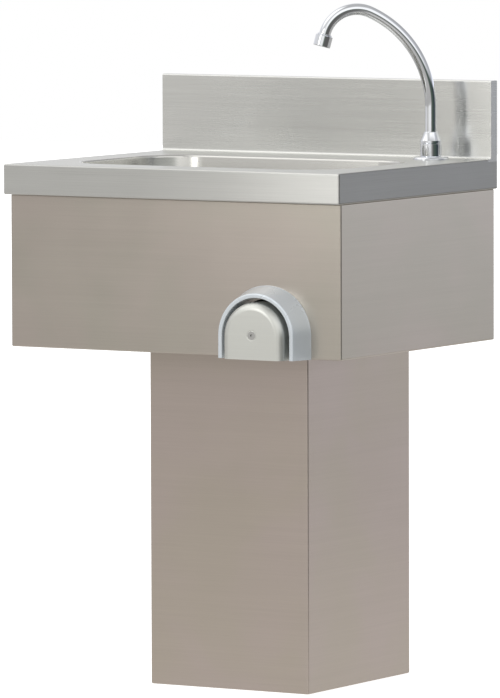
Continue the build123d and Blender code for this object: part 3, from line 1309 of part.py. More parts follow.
with BuildPart() as trap_cup:
    cup = [
        (0, CUP_LOW),
        (28, CUP_LOW),
        (TRAP_R + 1, CUP_LOW + 7),
        (TRAP_R + 1, TRAP_LOW - 4),
        (TRAP_R + 4, TRAP_LOW - 2),
        (TRAP_R + 4, TRAP_LOW + CUP_LAP),
        (TRAP_R, TRAP_LOW + CUP_LAP),
        (TRAP_R, TRAP_LOW),
        (TRAP_R - 1.5, TRAP_LOW),
        (TRAP_R - 1.5, CUP_LOW + 8),
        (27, CUP_LOW + 2.5),
        (0, CUP_LOW + 2.5),
    ]
    add(turned_z(cup, 0, DRAIN_Y, 0))
    with BuildSketch(Plane.XY.offset(TRAP_LOW - 1)):
        with Locations((0, DRAIN_Y)):
            with PolarLocations(TRAP_R + 5.2, 18):
                Circle(2.2)
    extrude(amount=CUP_LAP, mode=Mode.SUBTRACT)
trap_cup.part.label = "trap_cup"
export_step(trap_cup.part, "parts/trap_cup.step")

# Three slip nuts: on the waste body, on the bottle's neck and on its outlet
nut_outer = 27.5


def slip_nut(thread_r, lap):
    """Outline of a slip nut whose lip is at height 0 and whose thread reaches up."""
    return [
        (PIPE_R + 0.2, 0),
        (nut_outer - 3, 0),
        (nut_outer - 1, 2),
        (nut_outer - 1, LIP + lap),
        (thread_r, LIP + lap),
        (thread_r, LIP),
        (PIPE_R + 0.2, LIP),
    ]


def mirrored(profile):
    """The same outline upside down."""
    return [(r, -h) for r, h in profile]


waste_nut_z = WASTE_LOW - WASHER - LIP
neck_nut_z = TRAP_TOP + WASHER + LIP
outlet_nut_y = ELBOW_Y + WASHER + LIP
outlet_nut_profile = [(r, outlet_nut_y + h) for r, h in mirrored(slip_nut(COLLAR_R, 16))]
with BuildPart() as slip_nuts:
    add(turned_z(slip_nut(WASTE_THREAD_R, 18), 0, DRAIN_Y, waste_nut_z))
    add(turned_z(mirrored(slip_nut(COLLAR_R, 18)), 0, DRAIN_Y, neck_nut_z))
    add(turned_y(outlet_nut_profile, 0, OUTLET_Z))
slip_nuts.part.label = "slip_nuts"
export_step(slip_nuts.part, "parts/slip_nuts.step")

with BuildPart() as slip_washers:
    add(turned_z(ring(PIPE_R, WASTE_THREAD_R, WASTE_LOW - WASHER, WASTE_LOW), 0, DRAIN_Y, 0))
    add(turned_z(ring(PIPE_R, COLLAR_R, TRAP_TOP, TRAP_TOP + WASHER), 0, DRAIN_Y, 0))
    add(turned_y(ring(TAIL_R, COLLAR_R, ELBOW_Y, ELBOW_Y + WASHER), 0, OUTLET_Z))
slip_washers.part.label = "slip_washers"
export_step(slip_washers.part, "parts/slip_washers.step")

# Outlet pipe, slimmer where it enters the nut
TAIL_END_Y = outlet_nut_y + 3.0
with BuildPart() as waste_pipe:
    add(turned_y(ring(TAIL_BORE_R, TAIL_R, ELBOW_Y - 14, TAIL_END_Y), 0, OUTLET_Z))
    add(turned_y(ring(TAIL_BORE_R, PIPE_R, TAIL_END_Y, WALL_Y), 0, OUTLET_Z))
waste_pipe.part.label = "waste_pipe"
export_step(waste_pipe.part, "parts/waste_pipe.step")
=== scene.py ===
import json
import math

import bmesh
import bpy
from mathutils import Euler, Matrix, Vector


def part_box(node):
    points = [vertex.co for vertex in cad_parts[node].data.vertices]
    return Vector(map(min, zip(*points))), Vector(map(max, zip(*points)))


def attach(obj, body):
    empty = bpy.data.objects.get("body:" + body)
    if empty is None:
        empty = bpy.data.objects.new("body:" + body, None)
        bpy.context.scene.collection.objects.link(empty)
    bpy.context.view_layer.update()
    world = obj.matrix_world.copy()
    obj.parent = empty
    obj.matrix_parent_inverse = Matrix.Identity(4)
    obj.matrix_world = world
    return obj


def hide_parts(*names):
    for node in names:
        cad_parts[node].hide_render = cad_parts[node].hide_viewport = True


# Knee-operated pedestal handwash basin. Everything is in metres, in the frame of the
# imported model: X to the right, Y towards the wall, Z up from the floor.

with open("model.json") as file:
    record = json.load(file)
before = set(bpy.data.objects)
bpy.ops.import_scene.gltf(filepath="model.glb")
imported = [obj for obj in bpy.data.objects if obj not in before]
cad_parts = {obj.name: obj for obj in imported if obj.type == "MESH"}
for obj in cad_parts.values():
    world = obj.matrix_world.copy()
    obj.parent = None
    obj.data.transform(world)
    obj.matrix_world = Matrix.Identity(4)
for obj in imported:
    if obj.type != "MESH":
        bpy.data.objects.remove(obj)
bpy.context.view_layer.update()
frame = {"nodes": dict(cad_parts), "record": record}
nodes = frame["nodes"]
slot_of = {part["node"]: part["material_slot"] for part in frame["record"]["subparts"]}

# Places read from the model
apron_low, apron_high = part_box("front_apron")
pad_low, pad_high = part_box("knee_pad")
bezel_low, bezel_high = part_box("knee_bezel")
screw_low, screw_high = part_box("knee_pad_screw")
flange_low, flange_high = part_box("spout_flange")
KNEE_X = (pad_low.x + pad_high.x) / 2
KNEE_Z = pad_high.z - (pad_high.x - pad_low.x) / 2


# ---------------------------------------------------------------- camera

CAMERA_PLACE = Vector((5.8035, -9.6520, 1.4156))
CAMERA_YAW = 30.985
CAMERA_PITCH = 4.520
CAMERA_ROLL = -0.170
IMAGE_HEIGHT = 698
FOCAL_PIXELS = 7282.6
SENSOR = 36.0


def make_camera():
    data = bpy.data.cameras.new("camera")
    data.sensor_width = SENSOR
    data.lens = FOCAL_PIXELS / IMAGE_HEIGHT * SENSOR
    data.clip_end = 200
    camera = bpy.data.objects.new("camera", data)
    bpy.context.scene.collection.objects.link(camera)
    camera.location = CAMERA_PLACE
    turn = Euler((0, 0, math.radians(CAMERA_YAW))).to_matrix()
    tilt = Euler((math.radians(90 - CAMERA_PITCH), 0, 0)).to_matrix()
    roll = Euler((0, 0, math.radians(CAMERA_ROLL))).to_matrix()
    camera.rotation_euler = (turn @ tilt @ roll).to_euler()
    bpy.context.scene.camera = camera


# ---------------------------------------------------------------- node helpers


class Shader:
    """A small wrapper that adds and joins the nodes of one node tree."""

    def __init__(self, tree):
        self.tree = tree
        tree.nodes.clear()

    def add(self, kind, **values):
        node = self.tree.nodes.new(kind)
        for key, value in values.items():
            setattr(node, key, value)
        return node

    def link(self, source, target):
        self.tree.links.new(source, target)

    def math(self, operation, a, b=None):
        node = self.add("ShaderNodeMath", operation=operation)
        for socket, value in zip(node.inputs, (a, b)):
            self.feed(socket, value)
        return node.outputs[0]

    def vector(self, operation, a, b=None):
        node = self.add("ShaderNodeVectorMath", operation=operation)
        for socket, value in zip(node.inputs, (a, b)):
            self.feed(socket, value)
        return node.outputs[0]

    def feed(self, socket, value):
        if value is None:
            return
        if isinstance(value, bpy.types.NodeSocket):
            self.link(value, socket)
        else:
            socket.default_value = value

    def split(self, vector):
        node = self.add("ShaderNodeSeparateXYZ")
        self.link(vector, node.inputs[0])
        return node.outputs

    def join(self, x, y, z):
        node = self.add("ShaderNodeCombineXYZ")
        for socket, value in zip(node.inputs, (x, y, z)):
            self.feed(socket, value)
        return node.outputs[0]

    def noise(self, vector, scale, detail=4.0, rough=0.55, distortion=0.0):
        node = self.add("ShaderNodeTexNoise")
        self.link(vector, node.inputs["Vector"])
        node.inputs["Scale"].default_value = scale
        node.inputs["Detail"].default_value = detail
        node.inputs["Roughness"].default_value = rough
        node.inputs["Distortion"].default_value = distortion
        return node.outputs[0]

    def spread(self, value, low, high, out_low=0.0, out_high=1.0, smooth=False):
        node = self.add("ShaderNodeMapRange")
        node.interpolation_type = "SMOOTHSTEP" if smooth else "LINEAR"
        self.feed(node.inputs["Value"], value)
        for name, number in (
            ("From Min", low), ("From Max", high), ("To Min", out_low), ("To Max", out_high)
        ):
            node.inputs[name].default_value = number
        return node.outputs[0]

    def mix(self, factor, a, b, blend="MIX"):
        node = self.add("ShaderNodeMix", data_type="RGBA", blend_type=blend)
        self.feed(node.inputs["Factor"], factor)
        self.feed(node.inputs["A"], a)
        self.feed(node.inputs["B"], b)
        return node.outputs["Result"]

    def shaded(self, colour, shade):
        """A colour made lighter or darker by one number."""
        return self.mix(1.0, colour, self.join(shade, shade, shade), "MULTIPLY")

    def bump(self, height, strength, distance):
        node = self.add("ShaderNodeBump")
        node.inputs["Strength"].default_value = strength
        node.inputs["Distance"].default_value = distance
        self.feed(node.inputs["Height"], height)
        return node.outputs[0]


def rgb(r, g, b):
    """A colour from its 0 to 255 display values, as linear light."""
    def linear(value):
        value /= 255
        return value / 12.92 if value <= 0.04045 else ((value + 0.055) / 1.055) ** 2.4
    return (linear(r), linear(g), linear(b), 1.0)


def new_material(name):
    material = bpy.data.materials.new(name)
    material.use_nodes = True
    shader = Shader(material.node_tree)
    surface = shader.add("ShaderNodeBsdfPrincipled")
    output = shader.add("ShaderNodeOutputMaterial")
    shader.link(surface.outputs[0], output.inputs["Surface"])
    return material, shader, surface


# ---------------------------------------------------------------- metals


def model_point(shader):
    """The point in the model's frame."""
    return shader.add("ShaderNodeTexCoord").outputs["Object"]


def grain_space(shader, coords, normal, along, across):
    """Coordinates that stretch noise along the brushing, which runs sideways on each face."""
    x, y, z = shader.split(coords)
    flat = shader.math("ABSOLUTE", shader.split(normal)[2])
    flat = shader.spread(flat, 0.4, 0.7)
    depth_scale = shader.spread(flat, 0, 1, along, across)
    return shader.join(
        shader.math("MULTIPLY", x, along),
        shader.math("MULTIPLY", y, depth_scale),
        shader.math("MULTIPLY", z, across),
    )


# Brushing: waves per metre along the grain and across it, then the noise's detail and
# roughness, from the finest streaks to the broadest
HAIR = (14, 2600, 3, 0.6)
FINE = (4, 620, 3, 0.5)
BROAD = (0.8, 60, 2, 0.4)
HAIR_SWING, FINE_SWING, BROAD_SWING = 0.035, 0.035, 0.02
GRAIN_DEPTH = 0.000002
BRUSHING = (1, 0.05, 0)


# The last argument darkens the faces turned sideways to the given share: painted shade on the
# folded ends.
def brushed_steel(
    name, colour, roughness, anisotropy, grain=0.5, cloud=0.03, tint=None, painted_side_shade=1.0
):
    """Satin-brushed stainless: fine streaks, faint clouding, and smears from wiping."""
    material, shader, surface = new_material(name)
    coords = model_point(shader)
    normal = shader.add("ShaderNodeNewGeometry").outputs["Normal"]

    def streaks(along, across, detail, rough):
        space = grain_space(shader, coords, normal, along, across)
        return shader.noise(space, 1.0, detail, rough)

    hair, fine, broad = (streaks(*layer) for layer in (HAIR, FINE, BROAD))
    clouds = shader.noise(coords, 5.0, 3, 0.5, 0.4)
    smears = shader.noise(coords, 9.0, 2, 0.4, 0.6)

    base = colour
    if tint:
        base = shader.mix(shader.spread(clouds, 0.35, 0.65, smooth=True), colour, tint)
    value = shader.spread(clouds, 0.3, 0.7, 1 - cloud, 1 + cloud)
    for layer, weight in ((hair, HAIR_SWING), (fine, FINE_SWING), (broad, BROAD_SWING)):
        swing = weight * grain
        streak = shader.spread(layer, 0.3, 0.7, 1 - swing, 1 + swing)
        value = shader.math("MULTIPLY", value, streak)
    if painted_side_shade < 1:
        # Faces turned sideways are darkened: painted shade on the folded ends
        sideways = shader.math("ABSOLUTE", shader.split(normal)[0])
        side_shade_factor = shader.spread(sideways, 0.6, 0.95, 1.0, painted_side_shade)
        value = shader.math("MULTIPLY", value, side_shade_factor)
    shader.link(shader.shaded(base, value), surface.inputs["Base Color"])

    rough = shader.spread(fine, 0.3, 0.7, roughness - 0.02 * grain, roughness + 0.02 * grain)
    wear = shader.spread(smears, 0.3, 0.7, -0.012, 0.018)
    shader.link(shader.math("ADD", rough, wear), surface.inputs["Roughness"])
    shader.link(shader.bump(fine, 1.0, GRAIN_DEPTH * grain), surface.inputs["Normal"])

    tangent = shader.vector("CROSS_PRODUCT", normal, BRUSHING)
    shader.link(tangent, surface.inputs["Tangent"])
    surface.inputs["Metallic"].default_value = 1.0
    surface.inputs["Anisotropic"].default_value = anisotropy
    return material


def polished(name, colour, roughness, smudge=0.02):
    """Chrome or polished metal, with faint water marks and fingerprints."""
    material, shader, surface = new_material(name)
    coords = model_point(shader)
    marks = shader.noise(coords, 22.0, 2, 0.45, 0.4)
    film = shader.spread(marks, 0.45, 0.75, 0.0, smudge, smooth=True)
    shader.link(shader.math("ADD", film, roughness), surface.inputs["Roughness"])
    shade = shader.spread(marks, 0.4, 0.75, 1.0, 0.95)
    shader.link(shader.shaded(colour, shade), surface.inputs["Base Color"])
    surface.inputs["Metallic"].default_value = 1.0
    return material


def coated_metal(name, colour, roughness):
    """A silver lacquer on a casting: very fine flake, faint orange peel, handling marks."""
    material, shader, surface = new_material(name)
    coords = model_point(shader)
    flake = shader.noise(coords, 3000.0, 1, 0.5)
    peel = shader.noise(coords, 260.0, 2, 0.5)
    clouds = shader.noise(coords, 14.0, 3, 0.5)
    shade = shader.math(
        "MULTIPLY",
        shader.spread(flake, 0.3, 0.7, 0.97, 1.03),
        shader.spread(clouds, 0.3, 0.7, 0.98, 1.02),
    )
    shader.link(shader.shaded(colour, shade), surface.inputs["Base Color"])
    rough = shader.spread(clouds, 0.3, 0.7, roughness - 0.03, roughness + 0.04)
    shader.link(rough, surface.inputs["Roughness"])
    shader.link(shader.bump(peel, 0.08, 0.00005), surface.inputs["Normal"])
    surface.inputs["Metallic"].default_value = 0.30
    surface.inputs["Coat Weight"].default_value = 0.5
    surface.inputs["Coat Roughness"].default_value = 0.15
    return material


def machined(name, colour, roughness, lathe=420.0):
    """Machined metal: fine tool rings, slightly dulled by handling."""
    material, shader, surface = new_material(name)
    coords = model_point(shader)
    rings = shader.noise(shader.vector("MULTIPLY", coords, (0.3, lathe, 0.3)), 1.0, 3, 0.5)
    stain = shader.noise(coords, 45.0, 5, 0.65, 0.5)
    shade = shader.math(
        "MULTIPLY",
        shader.spread(rings, 0.3, 0.7, 0.94, 1.05),
        shader.spread(stain, 0.35, 0.75, 1.04, 0.86),
    )
    shader.link(shader.shaded(colour, shade), surface.inputs["Base Color"])
    rough = shader.spread(stain, 0.3, 0.75, roughness, roughness + 0.18)
    shader.link(rough, surface.inputs["Roughness"])
    shader.link(shader.bump(rings, 0.05, 0.0003), surface.inputs["Normal"])
    surface.inputs["Metallic"].default_value = 1.0
    return material


# ---------------------------------------------------------------- plastics and rubber


def moulded(name, colour, roughness, texture=320.0, depth=0.08, sheen=0.0):
    """Moulded plastic or rubber: fine spark texture, faint flow clouding, handling marks."""
    material, shader, surface = new_material(name)
    coords = model_point(shader)
    spark = shader.noise(coords, texture * 4, 3, 0.6)
    flow = shader.noise(coords, 22.0, 4, 0.55, 0.6)
    shade = shader.spread(flow, 0.3, 0.7, 0.93, 1.05)
    shader.link(shader.shaded(colour, shade), surface.inputs["Base Color"])
    rough = shader.spread(flow, 0.3, 0.7, roughness - 0.05, roughness + 0.07)
    shader.link(rough, surface.inputs["Roughness"])
    shader.link(shader.bump(spark, depth, 0.0003), surface.inputs["Normal"])
    surface.inputs["Sheen Weight"].default_value = sheen
    return material


def braided(name, colour):
    """Stainless wire braid over a hose: two crossing sets of fine wires."""
    material, shader, surface = new_material(name)
    coords = model_point(shader)
    x, y, z = shader.split(coords)
    run = shader.math("MULTIPLY", shader.math("ADD", shader.math("ADD", x, y), z), 1500)
    cross = shader.math("MULTIPLY", shader.math("SUBTRACT", shader.math("ADD", x, z), y), 1500)
    wires = shader.math("MULTIPLY", shader.math("SINE", run), shader.math("SINE", cross))
    height = shader.spread(wires, -1, 1)
    # The crossing pattern is the braid's own; its dips are darkened to 0.45, painted shade
    # between the wires.
    shade = shader.spread(wires, -1, 1, 0.45, 1.1)
    shader.link(shader.shaded(colour, shade), surface.inputs["Base Color"])
    shader.link(shader.bump(height, 0.7, 0.0006), surface.inputs["Normal"])
    surface.inputs["Metallic"].default_value = 1.0
    surface.inputs["Roughness"].default_value = 0.34
    return material


def make_materials():
    """One finished material for each of the record's slots."""
    return {
        # The deck's and the splash's side-facing ends are darkened in their base colour:
        # painted shade.
        "stainless_deck": brushed_steel(
            "steel_deck", rgb(200, 200, 197), 0.30, 0.88, 1.0, 0.02, painted_side_shade=0.50
        ),
        "stainless_bowl": brushed_steel("steel_bowl", rgb(214, 213, 209), 0.22, 0.3, 0.5),
        "stainless_splash": brushed_steel(
            "steel_splash", rgb(222, 222, 219), 0.26, 0.88, 1.0, 0.02, painted_side_shade=0.55
        ),
        "stainless_apron": brushed_steel(
            "steel_apron", rgb(187, 181, 171), 0.30, 0.35, 0.5, 0.012, rgb(190, 181, 173)
        ),
        "stainless_column": brushed_steel(
            "steel_column", rgb(188, 178, 167), 0.30, 0.35, 0.5, 0.012, rgb(189, 177, 170)
        ),
        "stainless_inner": brushed_steel(
            "steel_inner", rgb(176, 176, 174), 0.42, 0.3, 0.6, 0.06
        ),
        "stainless_pad": brushed_steel("steel_pad", rgb(212, 213, 208), 0.40, 0.2, 0.4),
        "zinc_bezel": coated_metal("bezel_lacquer", rgb(222, 229, 235), 0.26),
        "zinc_plated_steel": machined("zinc_plate", rgb(178, 182, 186), 0.34, 60.0),
        "stainless_screws": machined("screw_steel", rgb(190, 190, 188), 0.26),
        "spring_steel": machined("spring_wire", rgb(150, 152, 156), 0.30, 900.0),
        "chrome": polished("chrome_plate", rgb(232, 234, 238), 0.05),
        "brass": machined("brass_machined", rgb(196, 160, 96), 0.30),
        "stainless_strainer": polished("strainer_polish", rgb(214, 214, 212), 0.14),
        "rubber_black": moulded("rubber", rgb(34, 34, 35), 0.6, 300, 0.12, 0.15),
        "damping_sheet": moulded("damping", rgb(58, 58, 60), 0.8, 160, 0.3, 0.1),
        "white_plastic": moulded("polypropylene", rgb(228, 227, 222), 0.42),
        "acetal": moulded("acetal_natural", rgb(206, 208, 210), 0.35),
        "knob_plastic": moulded("knob_black", rgb(42, 42, 44), 0.35, 260, 0.1),
        "braided_hose": braided("hose_braid", rgb(190, 192, 195)),
    }


def dress_frame():
    """Gives every CAD node the material of its slot."""
    materials = make_materials()
    for name, node in nodes.items():
        node.data.materials.clear()
        node.data.materials.append(materials[slot_of[name]])
    return materials


# ---------------------------------------------------------------- pieces


def skin(rows, rows_close, ring_closes):
    """Four-sided faces between neighbouring rows of points, all of one length."""
    count, width = len(rows), len(rows[0])
    faces = []
    for i in range(count if rows_close else count - 1):
        j = (i + 1) % count
        for k in range(width if ring_closes else width - 1):
            n = (k + 1) % width
            faces.append((i * width + k, i * width + n, j * width + n, j * width + k))
    return faces


def finished_mesh(name, rows, faces, body, replaced, material, crease=40.0):
    """A smooth piece that rides on a body, and stands for a CAD node if one is named."""
    mesh = bpy.data.meshes.new(name)
    mesh.from_pydata([point for row in rows for point in row], [], faces)
    form = bmesh.new()
    form.from_mesh(mesh)
    bmesh.ops.recalc_face_normals(form, faces=form.faces)
    form.to_mesh(mesh)
    form.free()
    for face in mesh.polygons:
        face.use_smooth = True
    mesh.set_sharp_from_angle(angle=math.radians(crease))
    mesh.materials.append(material)
    piece = bpy.data.objects.new(name, mesh)
    bpy.context.scene.collection.objects.link(piece)
    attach(piece, body)
    if replaced:
        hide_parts(replaced)
    return piece


def weighted(piece):
    """Keeps the flat faces flat where they meet a rounded edge."""
    modifier = piece.modifiers.new("weighted", "WEIGHTED_NORMAL")
    modifier.keep_sharp = True
    modifier.weight = 80


ARC_STEPS = 72
LEG_STEPS = 6
BOTTOM_STEPS = 16


def d_points(half, y, low_z):
    """A D standing on its straight side, open below: up one leg, over, down the other."""
    points = []
    for step in range(LEG_STEPS):
        share = step / LEG_STEPS
        points.append((KNEE_X - half, y, low_z + (KNEE_Z - low_z) * share))
    for step in range(ARC_STEPS + 1):
        angle = math.pi * (1 - step / ARC_STEPS)
        points.append((KNEE_X + half * math.cos(angle), y, KNEE_Z + half * math.sin(angle)))
    for step in range(1, LEG_STEPS + 1):
        share = step / LEG_STEPS
        points.append((KNEE_X + half, y, KNEE_Z + (low_z - KNEE_Z) * share))
    return points


def arc_profile(centre_half, centre_y, radius, start, end, steps):
    """Half-widths and depths along a rounded edge; angles in degrees from outward."""
    pairs = []
    for step in range(steps + 1):
        angle = math.radians(start + (end - start) * step / steps)
        half = centre_half + radius * math.cos(angle)
        pairs.append((half, centre_y - radius * math.sin(angle)))
    return pairs


# The bezel's foot is a small bead: how far in from its widest, and how far forward
BEZEL_BEAD = ((0.0, 0.0), (0.0, 0.0016), (0.0004, 0.0026), (0.0012, 0.0032))
BEZEL_TAPER = 0.010
BEZEL_DEPTH = 0.017
BEZEL_EDGE, BEZEL_INNER_EDGE = 0.0026, 0.0016
BEZEL_DRAFT = 0.0004


def make_bezel(material):
    """Tapered horseshoe with a small bead at its foot and rounded front edges."""
    base, front_y, low_z = bezel_high.y, bezel_low.y, bezel_low.z
    outer = (bezel_high.x - bezel_low.x) / 2
    front_outer, inner = outer - BEZEL_TAPER, outer - BEZEL_DEPTH
    profile = [(outer - inset, base - forward) for inset, forward in BEZEL_BEAD]
    profile += arc_profile(
        front_outer - BEZEL_EDGE + BEZEL_DRAFT, front_y + BEZEL_EDGE, BEZEL_EDGE, 15, 90, 8
    )
    profile += arc_profile(
        inner + BEZEL_INNER_EDGE, front_y + BEZEL_INNER_EDGE, BEZEL_INNER_EDGE, 90, 180, 6
    )
    profile += [(inner, base)]
    rows = [d_points(half, y, low_z) for half, y in profile]
    faces = skin(rows, rows_close=True, ring_closes=False)
    width = len(rows[0])
    faces.append(tuple(i * width for i in range(len(rows))))
    faces.append(tuple(i * width + width - 1 for i in range(len(rows))))
    piece = finished_mesh(
        "knee_bezel_cast", rows, faces, "root", "knee_bezel", material
    )
    weighted(piece)


def closed_d(half, y, low_z):
    """The same D closed along its straight side."""
    points = d_points(half, y, low_z)
    for step in range(1, BOTTOM_STEPS):
        share = step / BOTTOM_STEPS
        points.append((KNEE_X + half * (1 - 2 * share), y, low_z))
    return points


def oval_within(outline, y, half_width, half_height):
    """An oval round the screw, with one point facing each point of the outline."""
    centre_z = (screw_low.z + screw_high.z) / 2
    oval = []
    for x, _, z in outline:
        angle = math.atan2(z - centre_z, x - KNEE_X)
        across, up = half_width * math.cos(angle), half_height * math.sin(angle)
        oval.append((KNEE_X + across, y, centre_z + up))
    return oval


PAD_EDGE = 0.012
PAD_WALL = 0.0007
PAD_SKIRT_START = 1.4
# The ring pressed round the pad's screw: radii, and how far in from the face
PRESSED_RING = (
    (0.0086, 0.0), (0.0081, 0.00025), (0.0077, 0.0006), (0.0070, 0.0006), (0.0064, 0.0)
)


def make_pad(material, body):
    """Pressed push pad: wide soft edge, a flat face, and a ring pressed round its screw."""
    face_y, rear_y, low_z = pad_low.y, pad_high.y, pad_low.z
    half = (pad_high.x - pad_low.x) / 2
    rings = [
        closed_d(half, rear_y, low_z),
        closed_d(half, face_y + PAD_EDGE * PAD_SKIRT_START, low_z),
    ]
    for half_here, y in arc_profile(half - PAD_EDGE, face_y + PAD_EDGE, PAD_EDGE, 0, 90, 14):
        rings.append(closed_d(half_here, y, low_z))
    face_ring = rings[-1]
    for radius, depth in PRESSED_RING:
        rings.append(oval_within(face_ring, face_y + depth, radius, radius))
    faces = skin(rings, rows_close=False, ring_closes=True)
    piece = finished_mesh(
        "knee_pad_pressed", rings, faces, body, "knee_pad", material
    )
    thick = piece.modifiers.new("wall", "SOLIDIFY")
    thick.thickness = PAD_WALL
    thick.offset = -1
    weighted(piece)


# The black sheet behind the pad, a painted shade inside the apron: half width, thickness, set
# back, clearance and hole.
SHADE_SHEET_HALF = 0.0572
SHADE_SHEET_THICK = 0.0015
SHADE_SHEET_SET_BACK = 0.0080
SHADE_SHEET_CLEAR = 0.0026
SHADE_SHEET_HOLE = (0.0340, 0.0135)


def make_shade_sheet(material):
    """Black rubber sheet behind the pad, with one oval hole round its rod and spring: a dark
    sheet put in to paint the shade inside the apron round the pad.

    The two guide pins sit lower than the hole and pass through the rubber itself.
    """
    front_y = apron_low.y + SHADE_SHEET_SET_BACK
    back_y = front_y + SHADE_SHEET_THICK
    low_z = apron_low.z + SHADE_SHEET_CLEAR
    front, back = (closed_d(SHADE_SHEET_HALF, y, low_z) for y in (front_y, back_y))
    rings = [
        oval_within(front, front_y, *SHADE_SHEET_HOLE), front,
        back, oval_within(back, back_y, *SHADE_SHEET_HOLE),
    ]
    faces = skin(rings, rows_close=True, ring_closes=True)
    finished_mesh("knee_shade_sheet", rings, faces, "root", None, material)


# Gooseneck: the same line as the model's, a riser, a wide bend and a tight bend
TUBE_R, TUBE_BORE_R = 0.0090, 0.0075
STEM_BORE_R = 0.0060
STEM_LOW, STEM_TOP = 0.0110, 0.0310
STEM_STEP = 0.0005
FINE_TOP = 0.034
RISER_TOP, RISER_STEPS = 0.0812, 12
LARGE_BEND = (0.1636, 65.3)
SMALL_BEND = (0.0514, 99.7)
STEPS_PER_DEGREE = 1.5
TUBE_END = 0.0060
SPOUT_HEADING = 39.0
O_RING_LEVELS = (0.016, 0.025)
GROOVE_HALF, GROOVE_DEPTH = 0.0009, 0.0015
AROUND = 72


def spout_line():
    """The gooseneck's middle as points: reach from the axis, height, and heading."""
    stem_steps = round((FINE_TOP - STEM_LOW) / STEM_STEP)
    levels = [STEM_LOW + STEM_STEP * step for step in range(stem_steps + 1)]
    for step in range(1, RISER_STEPS + 1):
        levels.append(FINE_TOP + (RISER_TOP - FINE_TOP) * step / RISER_STEPS)
    line = [(0.0, level, math.pi / 2) for level in levels]
    reach, height, heading = line[-1]
    for radius, turn in (LARGE_BEND, SMALL_BEND):
        steps = round(turn * STEPS_PER_DEGREE)
        part = math.radians(turn) / steps
        for _ in range(steps):
            chord = 2 * radius * math.sin(part / 2)
            middle = heading - part / 2
            reach += chord * math.cos(middle)
            height += chord * math.sin(middle)
            heading -= part
            line.append((reach, height, heading))
    line.append((
        reach + TUBE_END * math.cos(heading), height + TUBE_END * math.sin(heading), heading
    ))
    return line


def make_spout(material, body):
    """The gooseneck tube as one fine smooth skin, inside and out."""
    axis = Vector(((flange_low.x + flange_high.x) / 2, (flange_low.y + flange_high.y) / 2, 0))
    rim_top = flange_low.z
    turn = math.radians(SPOUT_HEADING)
    along = Vector((-math.cos(turn), -math.sin(turn), 0))
    across = along.cross(Vector((0, 0, 1)))
    line = spout_line()
    rows = []
    for inside in (False, True):
        for reach, height, heading in (reversed(line) if inside else line):
            radius = TUBE_BORE_R if inside else TUBE_R
            upright = reach == 0.0
            if inside and upright and height <= STEM_TOP:
                radius = STEM_BORE_R
            near = any(abs(height - level) <= GROOVE_HALF for level in O_RING_LEVELS)
            if upright and near and not inside:
                radius = TUBE_R - GROOVE_DEPTH
            outward = along * math.sin(heading) - Vector((0, 0, math.cos(heading)))
            middle = axis + along * reach + Vector((0, 0, rim_top + height))
            rows.append([
                tuple(
                    middle
                    + outward * radius * math.cos(2 * math.pi * k / AROUND)
                    + across * radius * math.sin(2 * math.pi * k / AROUND)
                )
                for k in range(AROUND)
            ])
    faces = skin(rows, rows_close=True, ring_closes=True)
    finished_mesh(
        "spout_gooseneck", rows, faces, body, "spout_tube", material, crease=50.0
    )


# ---------------------------------------------------------------- studio


def lobe(shader, direction, aim, inner, outer):
    """One soft round light in the sky: full inside one angle, gone beyond the other."""
    towards = tuple(Vector(aim).normalized())
    closeness = shader.add("ShaderNodeVectorMath", operation="DOT_PRODUCT")
    shader.link(direction, closeness.inputs[0])
    closeness.inputs[1].default_value = towards
    edge, core = math.cos(math.radians(outer)), math.cos(math.radians(inner))
    return shader.spread(closeness.outputs["Value"], edge, core, smooth=True)


# Colours round the studio at eye level, and above it: the share of a turn from +X
# towards +Y, then the colour
WALLS = (
    (0.000, (0.040, 0.055, 0.058)),
    (0.080, (0.050, 0.060, 0.070)),
    (0.120, (1.22, 1.28, 1.44)),
    (0.250, (1.12, 1.17, 1.28)),
    (0.340, (0.98, 0.98, 1.00)),
    (0.500, (0.82, 0.82, 0.84)),
    (0.640, (0.70, 0.69, 0.68)),
    (0.720, (0.76, 0.75, 0.73)),
    (0.780, (1.05, 1.05, 1.04)),
    (0.835, (1.00, 1.00, 0.99)),
    (0.865, (0.16, 0.19, 0.16)),
    (0.950, (0.065, 0.090, 0.078)),
)
SKY = (
    (0.000, (0.70, 0.72, 0.75)),
    (0.100, (0.50, 0.50, 0.52)),
    (0.200, (0.44, 0.44, 0.45)),
    (0.280, (0.50, 0.50, 0.51)),
    (0.360, (0.98, 0.98, 1.00)),
    (0.500, (0.82, 0.82, 0.84)),
    (0.640, (0.80, 0.80, 0.79)),
    (0.740, (0.75, 0.75, 0.74)),
    (0.820, (1.35, 1.35, 1.34)),
    (0.920, (1.20, 1.20, 1.20)),
)
CEILING = (0.55, 0.55, 0.55, 1.0)
GROUND = (0.50, 0.49, 0.475, 1.0)
OVERHEAD = (1.5, 1.5, 1.48, 1.0)


def round_the_room(shader, turn, stops):
    """A colour that changes with the direction round the room."""
    node = shader.add("ShaderNodeValToRGB")
    ramp = node.color_ramp.elements
    while len(ramp) < len(stops):
        ramp.new(0.5)
    for element, (position, colour) in zip(ramp, stops):
        element.position = position
        element.color = (*colour, 1.0)
    shader.link(turn, node.inputs[0])
    return node.outputs[0]


